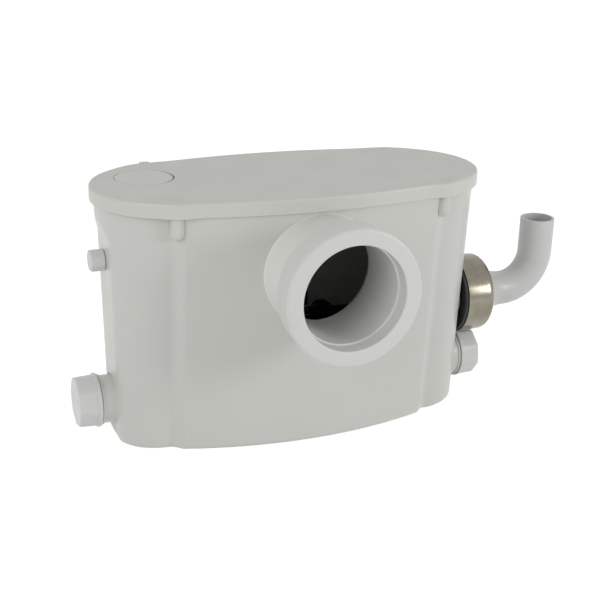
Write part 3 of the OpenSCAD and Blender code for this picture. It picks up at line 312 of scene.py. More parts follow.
pan_low, pan_high = cad_box("inlet_sleeve")
pan_z = (pan_low.z + pan_high.z) / 2
tube_r = cad_box("inlet_tube")[1].x
tube_wall = 3.5
pan_bore = tube_r - tube_wall
inlet_z = 41
neck_root_r = 25
stub_low, stub_high = cad_box("stub_tube")
stub_z = (stub_low.z + stub_high.z) / 2
stub_tube_r = (stub_high.z - stub_low.z) / 2
outlet_z = 110
outlet_bore = 20
boss_low, boss_high = cad_box("corner_bosses")
boss_r = 6.5
boss_x = boss_high.x - boss_r
boss_y = boss_high.y - boss_r
boss_places = [(sx * boss_x, sy * boss_y) for sx in (-1, 1) for sy in (-1, 1)]
screw_hole_r = 2.2
screw_depth = 30
drill_past = 5
gland_low, gland_high = cad_box("cable_gland")
gland_x = (gland_low.x + gland_high.x) / 2
gland_z = (gland_low.z + gland_high.z) / 2
gland_tail_r = 4
cut(tank, [
    drill("Y", (0, 0, pan_z), pan_bore, -half_depth - 20, -half_depth + 40),
    end_hole(1, inlet_z, neck_root_r),
    end_hole(-1, inlet_z, neck_root_r),
    end_hole(-1, stub_z, stub_tube_r),
    end_hole(1, outlet_z, outlet_bore),
    drill("Y", (gland_x, 0, gland_z), gland_tail_r, 60, 90),
] + [drill("Z", (x, y, 0), screw_hole_r, rim_z - screw_depth, rim_z + drill_past, 32) for x, y in boss_places])
smooth(tank)
tank_abs = moulded("satin_white_abs", "#dadad5", "#d6d6d1", 0.36, 1.6, 0.02)
dress(tank, tank_abs, "tank_body", "tank_plastic", "tank")

# Corner bosses
# Four round posts in the tank's white ABS, moulded on the corners of its wall and closed by a dome below.
# The lid's screws bite into them.


def rounded(corners, closed=False, steps=5):
    """Points of an outline whose corners are (across, along, ease): each corner is rounded from that far off."""
    points = []
    count = len(corners)
    for i, (across, along, ease) in enumerate(corners):
        here = Vector((across, along))
        if ease == 0 or (not closed and i in (0, count - 1)):
            points.append((across, along))
            continue
        before = Vector(corners[i - 1][:2]) - here
        after = Vector(corners[(i + 1) % count][:2]) - here
        start = here + before.normalized() * ease
        end = here + after.normalized() * ease
        for step in range(steps + 1):
            t = step / steps
            p = start * (1 - t) ** 2 + here * 2 * t * (1 - t) + end * t ** 2
            points.append((p.x, p.y))
    return points


def turned(name, axis, at, profile, ends, section=None, sides=96):
    """A piece turned about an axis through a point, from (radius, along) places; section may shape the round."""
    rings = []
    for radius, along in profile:
        ring = []
        for i in range(sides):
            angle = 2 * math.pi * i / sides
            r = section(radius, angle, along) if section else radius
            a, b = r * math.cos(angle), r * math.sin(angle)
            if axis == "X":
                ring.append((along, at[1] + a, at[2] + b))
            elif axis == "Y":
                ring.append((at[0] + a, along, at[2] + b))
            else:
                ring.append((at[0] + a, at[1] + b, along))
        rings.append(ring)
    return skin(name, rings, ends)


def joined(name, pieces):
    """Several like pieces as one object."""
    bpy.ops.object.select_all(action="DESELECT")
    for piece in pieces:
        piece.select_set(True)
    bpy.context.view_layer.objects.active = pieces[0]
    bpy.ops.object.join()
    pieces[0].name = name
    pieces[0].data.name = name
    return pieces[0]


boss_dome_z = boss_low.z + boss_r
boss_edge = 0.5
pilot_floor = boss_dome_z - 1
dome_angles = [math.radians(a) for a in range(6, 91, 12)]
boss_profile = [(boss_r * math.sin(a), boss_dome_z - boss_r * math.cos(a)) for a in dome_angles]
boss_profile += rounded(
    [(boss_r, boss_dome_z + 4, 0), (boss_r, rim_z, boss_edge), (screw_hole_r, rim_z, 0)], steps=2)
boss_profile += [(screw_hole_r, pilot_floor), (0.2, pilot_floor)]
bosses = joined("corner_posts", [
    turned("corner_post", "Z", (x, y, 0), boss_profile, "fill", sides=40) for x, y in boss_places])
smooth(bosses)
dress(bosses, tank_abs, "tank_body", "tank_plastic", "corner_bosses")

# Pan inlet tube
# A short round tube in white ABS, moulded on the front wall with a small fillet where it leaves the wall. Its
# ABS is drawn a shade whiter than the wall's: painted light that brightens its sides and top. The soft collar for the
# pan's spigot is pushed over its open end.
tube_fillet = 0.7
tube_sunk = 2
tube_foot = 0.6
tube_edge = 1
tube_sides = 128
tube_flat = half_depth + 14
tube_end = -cad_box("inlet_tube")[0].y


def on_wall(radius, forward):
    """A ring round the pan inlet's axis, a distance in front of the front wall."""
    ring = []
    for i in range(tube_sides):
        angle = 2 * math.pi * i / tube_sides
        x, z = radius * math.cos(angle), pan_z + radius * math.sin(angle)
        ring.append((x, -front_depth(abs(x), z) - forward, z))
    return ring


def flat_ring(radius, y):
    """A ring round the pan inlet's axis at one distance from the middle of the tank."""
    steps = [2 * math.pi * i / tube_sides for i in range(tube_sides)]
    return [(radius * math.cos(a), -y, pan_z + radius * math.sin(a)) for a in steps]


tube_rings = [on_wall(tube_r - 1, -tube_sunk), on_wall(tube_r + tube_fillet, -tube_foot)]
tube_rings += [on_wall(tube_r + side, rise) for rise, side in arc(tube_fillet, range(10, 91, 16))]
tube_rings += [on_wall(tube_r, 6), flat_ring(tube_r, tube_flat)]
tube_rings += [flat_ring(r, y) for r, y in rounded([
    (tube_r, tube_flat + 6, 0), (tube_r, tube_end, tube_edge), (pan_bore, tube_end, tube_edge),
    (pan_bore, tube_flat, 0)])]
tube_rings += [on_wall(pan_bore, 0), on_wall(pan_bore, -3)]
tube = skin("pan_tube", tube_rings, "join")
smooth(tube)
# painted light: the wall's own ABS, drawn a shade whiter so the tube reads brighter than the lamps make it
tube_abs_painted_light = moulded("white_abs_painted_light", "#f0efea", "#ecebe6", 0.34, 1.6, 0.02)
dress(tube, tube_abs_painted_light, "tank_body", "tank_plastic", "inlet_tube")

# Pan collar
# A thick ring of soft white rubber-like plastic that grips the pan's spigot. It laps over the tube's end
# and flares towards its face, with soft edges all round.
collar_length = 31
collar_flare = 2.1
collar_face = -pan_low.y
collar_back = collar_face - collar_length
collar_face_r = (pan_high.z - pan_low.z) / 2
collar_back_r = collar_face_r - collar_flare
collar_bore_r = 48.5
collar_mouth_r = 50
collar_mouth = 16
collar_inner = 88
collar_fit = 0.2
collar_profile = rounded([
    (collar_bore_r, -collar_inner, 0.8),
    (pan_bore - collar_fit, -collar_inner, 0.8),
    (pan_bore - collar_fit, -tube_end - collar_fit, 0),
    (tube_r + collar_fit, -tube_end - collar_fit, 0),
    (tube_r + collar_fit, -collar_back, 0.6),
    (collar_back_r, -collar_back, 0.6),
    (collar_face_r, -collar_face, 4),
    (collar_mouth_r, -collar_face, 1.6),
    (collar_mouth_r, -collar_face + collar_mouth, 0.5),
    (collar_bore_r, -collar_face + collar_mouth, 0.7),
], closed=True, steps=6)
collar = turned("pan_collar", "Y", (0, 0, pan_z), collar_profile, "join", sides=160)
smooth(collar)
collar_white = moulded("soft_white_elastomer", "#e5e6e3", "#e1e2df", 0.42, 2.2, 0.02)
dress(collar, collar_white, "tank_body", "soft_white", "inlet_sleeve")

# Side inlet necks
# A short neck in the tank's white ABS, moulded low on each end panel, with a flange and a coarse thread for
# the screw cap. A small cove blends it into the panel.
neck_r = 24
neck_bore = 20
neck_cove = 1.2
neck_flange = 2
neck_flange_r = 25.2
neck_wall = panel_face(inlet_z)
thread_r = 22.6
thread_length = 18
thread_pitch = 5
thread_depth = 1.1
thread_root_r = thread_r - thread_depth
thread_steps = 36
thread_step = 0.4
for side, sign in (("left", -1), ("right", 1)):
    low, high = cad_box(side + "_neck")
    neck_end = max(abs(low.x), abs(high.x))
    neck_start = min(abs(low.x), abs(high.x))
    thread_start = neck_end - thread_length
    flange_start = thread_start - neck_flange
    root = rounded([
        (neck_bore, neck_start, 0), (neck_root_r, neck_start, 0.5), (neck_root_r + neck_cove, neck_wall - 1.5, 0),
        (neck_r, neck_wall - 0.5, neck_cove), (neck_r, flange_start, 0), (neck_flange_r, flange_start, 0.4),
        (neck_flange_r, thread_start, 0.4), (thread_root_r, thread_start, 0.3), (thread_root_r, thread_start + 2, 0)])
    turns = [(thread_r, thread_start + 2.2 + i * thread_step) for i in range(thread_steps)]
    mouth = rounded([
        (thread_root_r, neck_end - 1, 0), (thread_root_r, neck_end, 0.5), (neck_bore, neck_end, 0.5),
        (neck_bore, neck_end - 5, 0)])

    def neck_section(radius, angle, along):
        """Cuts a coarse round thread between the flange and the end of the neck."""
        if radius <= neck_bore + 0.5 or not thread_start + 2.1 < abs(along) < neck_end - 1.2:
            return radius
        phase = 2 * math.pi * along / thread_pitch - angle
        return radius - thread_depth * (0.5 + 0.5 * math.cos(phase))

    neck = turned(side + "_inlet_neck", "X", (0, 0, inlet_z),
                  [(r, sign * x) for r, x in root + turns + mouth], "join", neck_section)
    smooth(neck)
    dress(neck, tank_abs, "tank_body", "tank_plastic", side + "_neck")

# Vent stub
# A small round stub high on the left end panel, moulded with the tank in the same white ABS and open to
# its inside. A push-on cap closes it.
stub_bore = 6
stub_start, stub_end = -stub_high.x, -stub_low.x
stub = turned("vent_stub", "X", (0, 0, stub_z), [(r, -x) for r, x in rounded([
    (stub_bore, stub_start, 0.3), (stub_tube_r, stub_start, 0.3), (stub_tube_r, stub_end, 0.8),
    (stub_bore, stub_end, 0.8)], closed=True, steps=3)], "join", sides=64)
smooth(stub)
dress(stub, tank_abs, "tank_body", "tank_plastic", "stub_tube")

# Discharge spigot
# The thick round outlet in the tank's white ABS, moulded on the right end panel. The black sleeve is pushed
# over it, and the valve is pressed in from inside.
spigot_r = 25.5
spigot_root = 13.5
spigot_start = panel_x - spigot_root
spigot_end = tank_high.x
spigot = turned("discharge_spigot", "X", (0, 0, outlet_z), rounded([
    (outlet_bore, spigot_start, 0), (spigot_r, spigot_start, 0.5), (spigot_r, spigot_end, 0.8),
    (outlet_bore, spigot_end, 0.8)], closed=True, steps=3), "join")
smooth(spigot)
dress(spigot, tank_abs, "tank_body", "tank_plastic")

# Discharge sleeve
# A thick black rubber sleeve that joins the spigot and the elbow. Most of it lies under the clamp ring,
# and a bare band shows beside the wall.
black_rubber = moulded("matt_black_rubber", "#1b1b1b", "#161616", 0.62, 1.2, 0.05)
sleeve_low, sleeve_high = cad_box("discharge_sleeve")
sleeve_r = sleeve_high.y
sleeve_fit = 0.4
sleeve_bore = spigot_r + sleeve_fit
sleeve_shoulder = 7.8
sleeve_start = sleeve_low.x - (panel_x - panel_face(outlet_z))
sleeve = turned("rubber_sleeve", "X", (0, 0, outlet_z), rounded([
    (sleeve_bore, sleeve_start, 0.8), (sleeve_r, sleeve_start, 0.8), (sleeve_r, sleeve_high.x, sleeve_shoulder),
    (sleeve_bore, sleeve_high.x, 0.8)], closed=True, steps=8), "join")
smooth(sleeve)
dress(sleeve, black_rubber, "tank_body", "black_rubber", "discharge_sleeve")

# Clamp ring
# A drawn stainless cup with a rounded shoulder, pressed over the rubber sleeve to hold it on the spigot
# and the elbow. Fine turning lines run round it.
ring_low, ring_high = cad_box("clamp_ring")
ring_r = ring_high.y
ring_t = 1.2
ring_shoulder = 9
ring_mouth_r = 27
ring = turned("clamp_cup", "X", (0, 0, outlet_z), rounded([
    (ring_r - ring_t, ring_low.x, 0.3), (ring_r, ring_low.x, 0.5), (ring_r, ring_high.x, ring_shoulder),
    (ring_mouth_r, ring_high.x, 0.5), (ring_mouth_r, ring_high.x - ring_t, 0.3),
    (ring_r - ring_t, ring_high.x - ring_t, ring_shoulder - ring_t)], closed=True, steps=12), "join", sides=160)
smooth(ring)


def bright_metal(name, pale, deep, roughness, line_size, line_depth, along):
    """Worked metal: a steady mirror-like sheen, broken by fine tool lines across the direction `along`, whose
    width and depth are in millimetres, and a colour that clouds a little."""
    cloud_size, line_stretch, gloss_swing = 14, 0.02, 0.2
    material = bpy.data.materials.new(name)
    material.use_nodes = True
    tree = material.node_tree
    shader = tree.nodes["Principled BSDF"]
    shader.inputs["Metallic"].default_value = 1
    place = add_node(tree, "ShaderNodeTexCoord").outputs["Object"]
    stretch = [1 if axis == along else line_stretch for axis in "XYZ"]
    lined = add_node(tree, "ShaderNodeMapping", {"Scale": stretch}, {"Vector": place})
    lines = add_node(
        tree, "ShaderNodeTexNoise", {"Scale": per(line_size), "Detail": 3}, {"Vector": lined.outputs[0]})
    cloud = add_node(tree, "ShaderNodeTexNoise", {"Scale": per(cloud_size), "Detail": 3}, {"Vector": place})
    tint = add_node(
        tree, "ShaderNodeMix", {6: linear(deep), 7: linear(pale)}, {0: cloud.outputs[0]}, data_type="RGBA")
    gloss = add_node(
        tree, "ShaderNodeMapRange",
        {"From Min": 0.3, "From Max": 0.7,
         "To Min": roughness * (1 - gloss_swing), "To Max": roughness * (1 + gloss_swing)},
        {"Value": lines.outputs[0]})
    bump = add_node(
        tree, "ShaderNodeBump", {"Strength": 1, "Distance": line_depth * MM}, {"Height": lines.outputs[0]})
    tree.links.new(tint.outputs[2], shader.inputs["Base Color"])
    tree.links.new(gloss.outputs[0], shader.inputs["Roughness"])
    tree.links.new(bump.outputs[0], shader.inputs["Normal"])
    return material


stainless = bright_metal("drawn_stainless_steel", "#959183", "#6f6b60", 0.22, 0.8, 0.004, "X")
dress(ring, stainless, "tank_body", "stainless", "clamp_ring")

# Discharge elbow
# One moulding in pale grey polypropylene: a thick root held in the sleeve, a flare down to the pipe, a
# right-angle bend and an upright leg with an open end.
elbow_low, elbow_high = cad_box("discharge_elbow")
pipe_r = 18.5
pipe_wall = 3
pipe_bore = pipe_r - pipe_wall
pipe_sides = 80
bend_r = 40
flare_x = ring_high.x + 3
flare_length = 24
flare_steps = 12
pipe_x = flare_x + flare_length
leg_x = elbow_high.x - pipe_r
leg_top = elbow_high.z
leg_lip = leg_top - 8
bend_x = leg_x - bend_r
root_bore = 22


def upright(x, z, lean, radius):
    """A ring across the pipe at a point of its centre line, turned by the lean of the pipe there."""
    ring = []
    for i in range(pipe_sides):
        angle = 2 * math.pi * i / pipe_sides
        up, across = radius * math.sin(angle), radius * math.cos(angle)
        ring.append((x - up * math.sin(lean), across, z + up * math.cos(lean)))
    return ring


def bend_rings(radius):
    """Rings of a radius round the right-angle bend, from the level run to the upright leg."""
    steps = [math.radians(a) for a in range(0, 91, 5)]
    return [upright(bend_x + bend_r * math.sin(a), outlet_z + bend_r * (1 - math.cos(a)), a, radius) for a in steps]


flare_drop = spigot_r - pipe_r
flare_arc = (flare_length ** 2 + flare_drop ** 2) / (2 * flare_drop)
elbow_rings = [upright(x, outlet_z, 0, r) for r, x in rounded([
    (root_bore, elbow_low.x + 4, 0), (root_bore, elbow_low.x, 0.6), (spigot_r, elbow_low.x, 0.6),
    (spigot_r, flare_x - 2, 0)])]
for i in range(flare_steps + 1):
    x = flare_x + flare_length * i / flare_steps
    gap = pipe_x - x
    elbow_rings.append(upright(x, outlet_z, 0, pipe_r + flare_arc - math.sqrt(flare_arc ** 2 - gap ** 2)))
elbow_rings += bend_rings(pipe_r)
elbow_rings += [upright(leg_x, z, math.pi / 2, r) for r, z in rounded([
    (pipe_r, leg_lip, 0), (pipe_r, leg_top, 1), (pipe_bore, leg_top, 0.7), (pipe_bore, leg_lip, 0)])]
elbow_rings += reversed(bend_rings(pipe_bore))
elbow_rings += [upright(pipe_x, outlet_z, 0, pipe_bore), upright(flare_x, outlet_z, 0, root_bore)]
elbow = skin("outlet_elbow", elbow_rings, "join")
smooth(elbow)
elbow_grey = moulded("pale_grey_polypropylene", "#d5d6d4", "#d0d1cf", 0.38, 2, 0.02)
dress(elbow, elbow_grey, "elbow_body", "pale_plastic", "discharge_elbow")

# Screw caps
# A white polypropylene cap on each side inlet, with eight soft flats for the hand, a plain rim round its
# open end and a flat closed end. A black washer lies inside, and each cap is screwed home at an angle of
# its own.
cap_r = 26.4
cap_rim = 3.5
cap_rim_r = cap_r + 0.5
cap_bore = 23
cap_end = 2.6
cap_draft = 1
cap_flats = 8
cap_flat_depth = 1.4
cap_corner = 0.1
cap_soft = 0.5
cap_white = moulded("white_cap_polypropylene", "#e0e1df", "#dcdddb", 0.4, 1.8, 0.02)


def flatted(radius, angle, flats, turn, depth, corner, soft):
    """Radius of a round with flats on it, cut to a depth, whose corners stand out a little and are soft."""
    pitch = 2 * math.pi / flats
    off = (angle - turn + pitch / 2) % pitch - pitch / 2
    return soft_min(radius + corner, (radius - depth) / math.cos(off), soft)


for side, sign, cap_turn in (("left", -1, math.radians(28)), ("right", 1, math.radians(38))):
    low, high = cad_box(side + "_cap")
    start = min(abs(low.x), abs(high.x))
    end = max(abs(low.x), abs(high.x))
    rim_end = start + cap_rim
    inner_end = end - cap_end

    def cap_section(radius, angle, along):
        """Rounds a radius off to the flats, outside the rim and the bore."""
        if abs(along) < rim_end + 0.05 or radius < cap_bore + 0.3:
            return radius
        return flatted(radius, angle, cap_flats, cap_turn, cap_flat_depth, cap_corner, cap_soft)

    body_r = cap_r - cap_draft * cap_rim / (end - start)
    profile = [(2, inner_end)] + rounded([
        (cap_bore - 4, inner_end, 0), (cap_bore, inner_end, 0.6), (cap_bore, start, 0.6), (cap_rim_r, start, 0.8),
        (cap_rim_r, rim_end, 0.7), (body_r, rim_end + 0.1, 0.3), (cap_r - cap_draft, end, 1.8),
        (cap_bore - 3, end, 0)], steps=6) + [(2, end)]
    cap = turned(side + "_screw_cap", "X", (0, 0, inlet_z),
                 [(r, sign * x) for r, x in profile], "fill", cap_section, sides=160)
    smooth(cap, 40)
    dress(cap, cap_white, side + "_cap_body", "cap_plastic", side + "_cap")

# Stub cap
# A small white polypropylene cap pushed over the vent stub, with eight flats, a softened outer edge and a
# shallow recess in its end.
stub_cap_low, stub_cap_high = cad_box("stub_cap")
stub_cap_r = (stub_cap_high.z - stub_cap_low.z) / 2
stub_cap_start, stub_cap_end = -stub_cap_high.x, -stub_cap_low.x
stub_cap_fit = 0.4
stub_cap_bore = stub_tube_r + stub_cap_fit
stub_cap_inner = stub_cap_end - 2.5
stub_recess = stub_cap_end - 0.6
stub_flats = 8
stub_flat_depth = 0.8
stub_turn = math.radians(35)
stub_corner = 0.05
stub_soft = 0.15
stub_plain_r = stub_tube_r + 1.2


def stub_section(radius, angle, along):
    """Eight flats on the outside of the cap, which meet in soft edges."""
    if radius < stub_plain_r:
        return radius
    return flatted(radius, angle, stub_flats, stub_turn, stub_flat_depth, stub_corner, stub_soft)


stub_profile = [(1, stub_cap_inner)] + rounded([
    (6, stub_cap_inner, 0), (stub_cap_bore, stub_cap_inner, 0.3), (stub_cap_bore, stub_cap_start, 0.3),
    (stub_cap_r, stub_cap_start, 0.4), (stub_cap_r, stub_cap_end, 2), (stub_cap_r - 3.2, stub_cap_end, 0.4),
    (stub_cap_r - 3.8, stub_recess, 0.4), (4, stub_recess, 0)], steps=5) + [(1, stub_recess)]
stub_cap = turned("vent_stub_cap", "X", (0, 0, stub_z),
                  [(r, -x) for r, x in stub_profile], "fill", stub_section, sides=96)
smooth(stub_cap)
dress(stub_cap, cap_white, "stub_cap_body", "cap_plastic", "stub_cap")

# Lid
# A shallow cover moulded in satin white ABS, with a skirt that hangs over the tank's rim. The skirt swells
# over the screw bosses, more gently at the rear corners. A round hole at the left takes the vent cap, with a
# little more room at the cap's right.
lid_top = cad_box("lid")[1].z
lid_skirt = 14.5
lid_bottom = lid_top - lid_skirt
lid_overhang = 3.5
lid_thick = 4
lid_wall = 2.5
lid_foot = 0.5
lid_edge = 2.6
lid_half_depth = half_depth + lid_overhang
lid_half_length = half_length + lid_overhang
lid_lobe_steps = 24
ear_x = valley_x - 2
ear_depth = valley_half_depth + valley_step + lid_overhang
ear_rise = 4.6
ear_spread = 12
rear_ear_spread = 22
ear_start = 112
ear_step = 1.5
ear_steps = 30
lid_lobe_x = (lid_half_length ** 2 - ear_x ** 2 - ear_depth ** 2) / (2 * (lid_half_length - ear_x))
lid_lobe_r = lid_half_length - lid_lobe_x
lid_bow_r = (ear_x ** 2 + (lid_half_depth - ear_depth) ** 2) / (2 * (lid_half_depth - ear_depth))


def lid_quarter(inset, spread):
    """Front or rear right quarter of the lid's outline, from the middle to the end."""
    stations = [ear_start * i / front_steps for i in range(front_steps)]
    stations += [ear_start + ear_step * i for i in range(ear_steps)]
    quarter = []
    for x in stations:
        if x < ear_x:
            depth = lid_half_depth - lid_bow_r + math.sqrt((lid_bow_r - inset) ** 2 - x ** 2)
        else:
            depth = math.sqrt((lid_lobe_r - inset) ** 2 - (x - lid_lobe_x) ** 2)
        quarter.append((x, depth + ear_rise * math.exp(-((x - boss_x) / spread) ** 2)))
    start = math.acos((stations[-1] + ear_step - lid_lobe_x) / (lid_lobe_r - inset))
    for i in range(lid_lobe_steps + 1):
        angle = start * (1 - i / lid_lobe_steps)
        x = lid_lobe_x + (lid_lobe_r - inset) * math.cos(angle)
        rise = ear_rise * math.exp(-((x - boss_x) / spread) ** 2) * math.sin(angle) / math.sin(start)
        quarter.append((x, (lid_lobe_r - inset) * math.sin(angle) + rise))
    return quarter


def lid_ring(z, inset):
    """Outline of the lid at a height, drawn inwards by an inset."""
    rear = lid_quarter(inset, rear_ear_spread)
    right = lid_quarter(inset, ear_spread) + [(x, -y) for x, y in rear[-2::-1]]
    return [(x, -y, z) for x, y in right] + [(-x, -y, z) for x, y in right[-2:0:-1]]


lid_levels = [(lid_top - lid_thick, lid_wall), (lid_bottom + lid_foot, lid_wall), (lid_bottom, lid_wall - lid_foot),
              (lid_bottom, lid_foot), (lid_bottom + lid_foot, 0), (lid_bottom + 4, 0), (lid_top - lid_edge - 2, 0)]
lid_levels += [(lid_top - side, rise) for rise, side in arc(lid_edge, range(0, 91, 15))]
lid_levels += [(lid_top, lid_edge + 2)]
lid = skin("lid_cover", [lid_ring(z, inset) for z, inset in lid_levels], "fill")

vent_low, vent_high = cad_box("vent_cap")
vent_x = (vent_low.x + vent_high.x) / 2
vent_y = (vent_low.y + vent_high.y) / 2
vent_r = (vent_high.y - vent_low.y) / 2
vent_fit = 0.6
well_r = vent_r + vent_fit
vent_room = 0.4
room_x, room_y = 0.7, -0.5
lid_drill = lid_top - 8
plug_low, plug_high = cad_box("screw_plugs")
plug_r = plug_high.x - boss_x
plug_fit = 0.25
screw_head_r = 4.4
gland_hole_r = 5.2


def gland_hole():
    """A cutter for the gland's thread, through the lid's rear skirt and its pad."""
    return drill("Y", (gland_x, 0, gland_z), gland_hole_r, 60, 100, 48)


screw_cutters = ((plug_r + plug_fit, plug_low.z - 0.2, 64), (screw_head_r, plug_low.z - 1.8, 48),
                 (screw_hole_r, lid_drill, 32))
cut(lid, [drill("Z", (vent_x + room_x, vent_y + room_y, 0), well_r + vent_room,
                lid_drill, lid_top + drill_past, 128)]
    + [drill("Z", (x, y, 0), radius, start, lid_top + drill_past, sides)
       for radius, start, sides in screw_cutters for x, y in boss_places]
    + [gland_hole()])
smooth(lid)
lid_abs = moulded("satin_lid_abs", "#d9dbd3", "#d5d7cf", 0.42, 1.4, 0.02)
dress(lid, lid_abs, "lid_body", "lid_plastic", "lid")

# Vent well
# The cup under the vent cap, moulded with the lid in the same white ABS. Six holes in its floor let air
# through to the charcoal filter.
well_low = 236.4
well_wall = 2
well_floor = well_low + well_wall
well_top = lid_top - lid_thick + 0.5
well_hole_r = 4
well_hole_ring = vent_r * 0.55
well = turned("vent_well", "Z", (vent_x, vent_y, 0), [(1, well_low)] + rounded([
    (8, well_low, 0), (well_r + well_wall, well_low, 1), (well_r + well_wall, well_top, 0), (well_r, well_top, 0),
    (well_r, well_floor, 0.6), (8, well_floor, 0)]) + [(1, well_floor)], "fill")
well_angles = [math.radians(a) for a in range(0, 360, 60)]
cut(well, [drill("Z", (vent_x + well_hole_ring * math.cos(a), vent_y + well_hole_ring * math.sin(a), 0),
                 well_hole_r, well_low - 2, well_low + 5, 32) for a in well_angles])
smooth(well)
dress(well, lid_abs, "lid_body", "lid_plastic")

# Screw plugs
# Four thin white ABS discs, pressed flush over the heads of the lid's screws, so that only a faint ring
# shows in the lid.
plug_edge = 0.35
plug_profile = [(0.5, plug_low.z)] + rounded([
    (3, plug_low.z, 0), (plug_r, plug_low.z, 0.2), (plug_r, plug_high.z, plug_edge),
    (3, plug_high.z, 0)]) + [(0.5, plug_high.z)]
plugs = joined("lid_screw_plugs", [
    turned("lid_screw_plug", "Z", (x, y, 0), plug_profile, "fill", sides=64) for x, y in boss_places])
smooth(plugs)
dress(plugs, lid_abs, "lid_body", "lid_plastic", "screw_plugs")

# Vent cap
# A flush round cap moulded in white ABS, a shade lighter than the lid, with a finger notch at each side. It
# turns a quarter to free the charcoal filter under it.
vent_top, vent_bottom = vent_high.z, vent_low.z
vent_rim_r = vent_r - 3
vent_inner = vent_bottom + 1.5
notch_r = 2.8
notch_out = vent_r + 1.2
vent_cap = turned("vent_disc", "Z", (vent_x, vent_y, 0), [(1, vent_inner)] + rounded([
    (12, vent_inner, 0), (vent_rim_r, vent_inner, 0.4), (vent_rim_r, vent_bottom, 0.4),
    (vent_r, vent_bottom, 0.4), (vent_r, vent_top, 1), (vent_r - 5, vent_top, 0)])
    + [(1, vent_top)], "fill", sides=128)
cut(vent_cap, [drill("Z", (vent_x + s * notch_out, vent_y, 0), notch_r, vent_bottom - 2, vent_top + 2, 32)
               for s in (-1, 1)])
smooth(vent_cap)
vent_abs = moulded("vent_cap_abs", "#dedfd9", "#dadcd5", 0.42, 1.4, 0.03)
dress(vent_cap, vent_abs, "vent_cap_body", "lid_plastic", "vent_cap")

# Cable gland
# A hexagon gland moulded in white ABS and screwed into a pad on the lid's rear skirt, where the mains cord
# comes in. A domed nut closes it, with the cord's hole through the middle.
gland_y = 79.7
gland_end = gland_high.y
gland_flats = 17
gland_corner_r = gland_flats / math.sqrt(3)
gland_hex = 8
gland_hex_edge = 1.5
gland_gap = 0.2
gland_thread_r = 5
gland_dome_r = 6.5
cord_hole_r = 3.4


def soften(edge):
    """Fixes the place, turn and size of the piece just added in its mesh, and rounds all its edges."""
    bpy.ops.object.transform_apply(location=True, rotation=True, scale=True)
    bpy.ops.object.mode_set(mode="EDIT")
    bpy.ops.mesh.select_all(action="SELECT")
    bpy.ops.mesh.bevel(offset=edge * MM, segments=4, affect="EDGES")
    bpy.ops.object.mode_set(mode="OBJECT")


def cord_hole(radius):
    """A cutter along the gland's axis, right through it."""
    return drill("Y", (gland_x, 0, gland_z), radius, gland_low.y - 3, gland_end + 3, 48)


bpy.ops.object.select_all(action="DESELECT")
bpy.ops.mesh.primitive_cylinder_add(
    vertices=6, radius=gland_corner_r * MM, depth=gland_hex * MM, rotation=(math.pi / 2, math.pi / 6, 0),
    location=Vector((gland_x, gland_y + gland_gap + gland_hex / 2, gland_z)) * MM)
gland_nut = bpy.context.object
soften(gland_hex_edge)
gland_dome = turned("gland_dome", "Y", (gland_x, 0, gland_z), [(0.5, gland_low.y)] + rounded([
    (3, gland_low.y, 0), (gland_thread_r, gland_low.y, 0.4), (gland_thread_r, gland_y + 1, 0),
    (gland_dome_r, gland_y + 1, 0), (gland_dome_r, gland_end, 2.4), (3, gland_end, 0)])
    + [(0.5, gland_end)], "fill", sides=64)
cut(gland_dome, [cord_hole(cord_hole_r)])
cut(gland_nut, [cord_hole(cord_hole_r + 1)])
gland = joined("cord_gland", [gland_nut, gland_dome])
smooth(gland)
dress(gland, lid_abs, "lid_body", "lid_plastic", "cable_gland")

# Gland pad
# A flat boss in the lid's rear skirt, moulded with the lid in the same white ABS, that the gland tightens
# against. It stays clear of the tank's rim, so that the lid lifts freely.
pad_depth = 3.1
pad_edge = 1.2
pad_gap = 0.1
pad_height = lid_skirt - 0.6
bpy.ops.object.select_all(action="DESELECT")
bpy.ops.mesh.primitive_cube_add(
    size=1, location=Vector((gland_x, gland_y - pad_gap - pad_depth / 2, (lid_top + lid_bottom) / 2)) * MM)
pad = bpy.context.object
pad.name = "gland_pad"
pad.data.name = "gland_pad"
pad.scale = Vector((2 * gland_corner_r, pad_depth, pad_height)) * MM
soften(pad_edge)
cut(pad, [gland_hole()])
smooth(pad)
dress(pad, lid_abs, "lid_body", "lid_plastic")

# Works inside the tank
# The motor, macerator, pump, electrics, level switch, valves, seals and screws keep their CAD shapes. Each
# gets the finish of what it is made of: cast alloy, sheet steel, wound copper, rubber or moulded nylon.
inner_finishes = {
    "black_rubber": black_rubber,
    "nylon": moulded("grey_moulded_nylon", "#b9bbbc", "#adafb0", 0.5, 1.5, 0.03),
    "steel": bright_metal("turned_steel", "#c8cacc", "#b4b6b8", 0.28, 0.6, 0.006, "X"),
    "motor_alloy": bright_metal("cast_aluminium", "#aeb1b4", "#9b9ea1", 0.5, 2.5, 0.03, "X"),
    "lamination": bright_metal("stacked_steel_sheet", "#77797d", "#5f6165", 0.45, 1.0, 0.05, "X"),
    "copper": bright_metal("enamelled_copper_wire", "#b5632e", "#8f4a20", 0.3, 1.2, 0.1, "X"),
    "carbon": moulded("charcoal_granules", "#303030", "#1e1e1e", 0.8, 1.6, 0.6),
    "dark_plastic": moulded("black_filled_nylon", "#17130f", "#100d0a", 0.85, 1.4, 0.03),
    "signal_plastic": moulded("amber_acetal", "#d9a93a", "#cf9f32", 0.35, 1.4, 0.02),
    "cap_plastic": cap_white,
}
shown = set(name for piece in bpy.data.objects for name in piece.get("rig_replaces", []))
for part in frame["record"]["subparts"]:
    if part["node"] not in shown:
        node = frame["nodes"][part["node"]]
        node.data.materials.clear()
        node.data.materials.append(inner_finishes[part["material_slot"]])

# Floor and light
# A pale studio floor that reads as white to the camera and still takes the object's shadow, in an even pale
# surround. A large soft lamp stands at the left, and a smaller one at the right front.
floor_r = 9
floor_glow = 0.7
surround_light = 0.41
lamp_target = Vector((0, 0, 0.12))


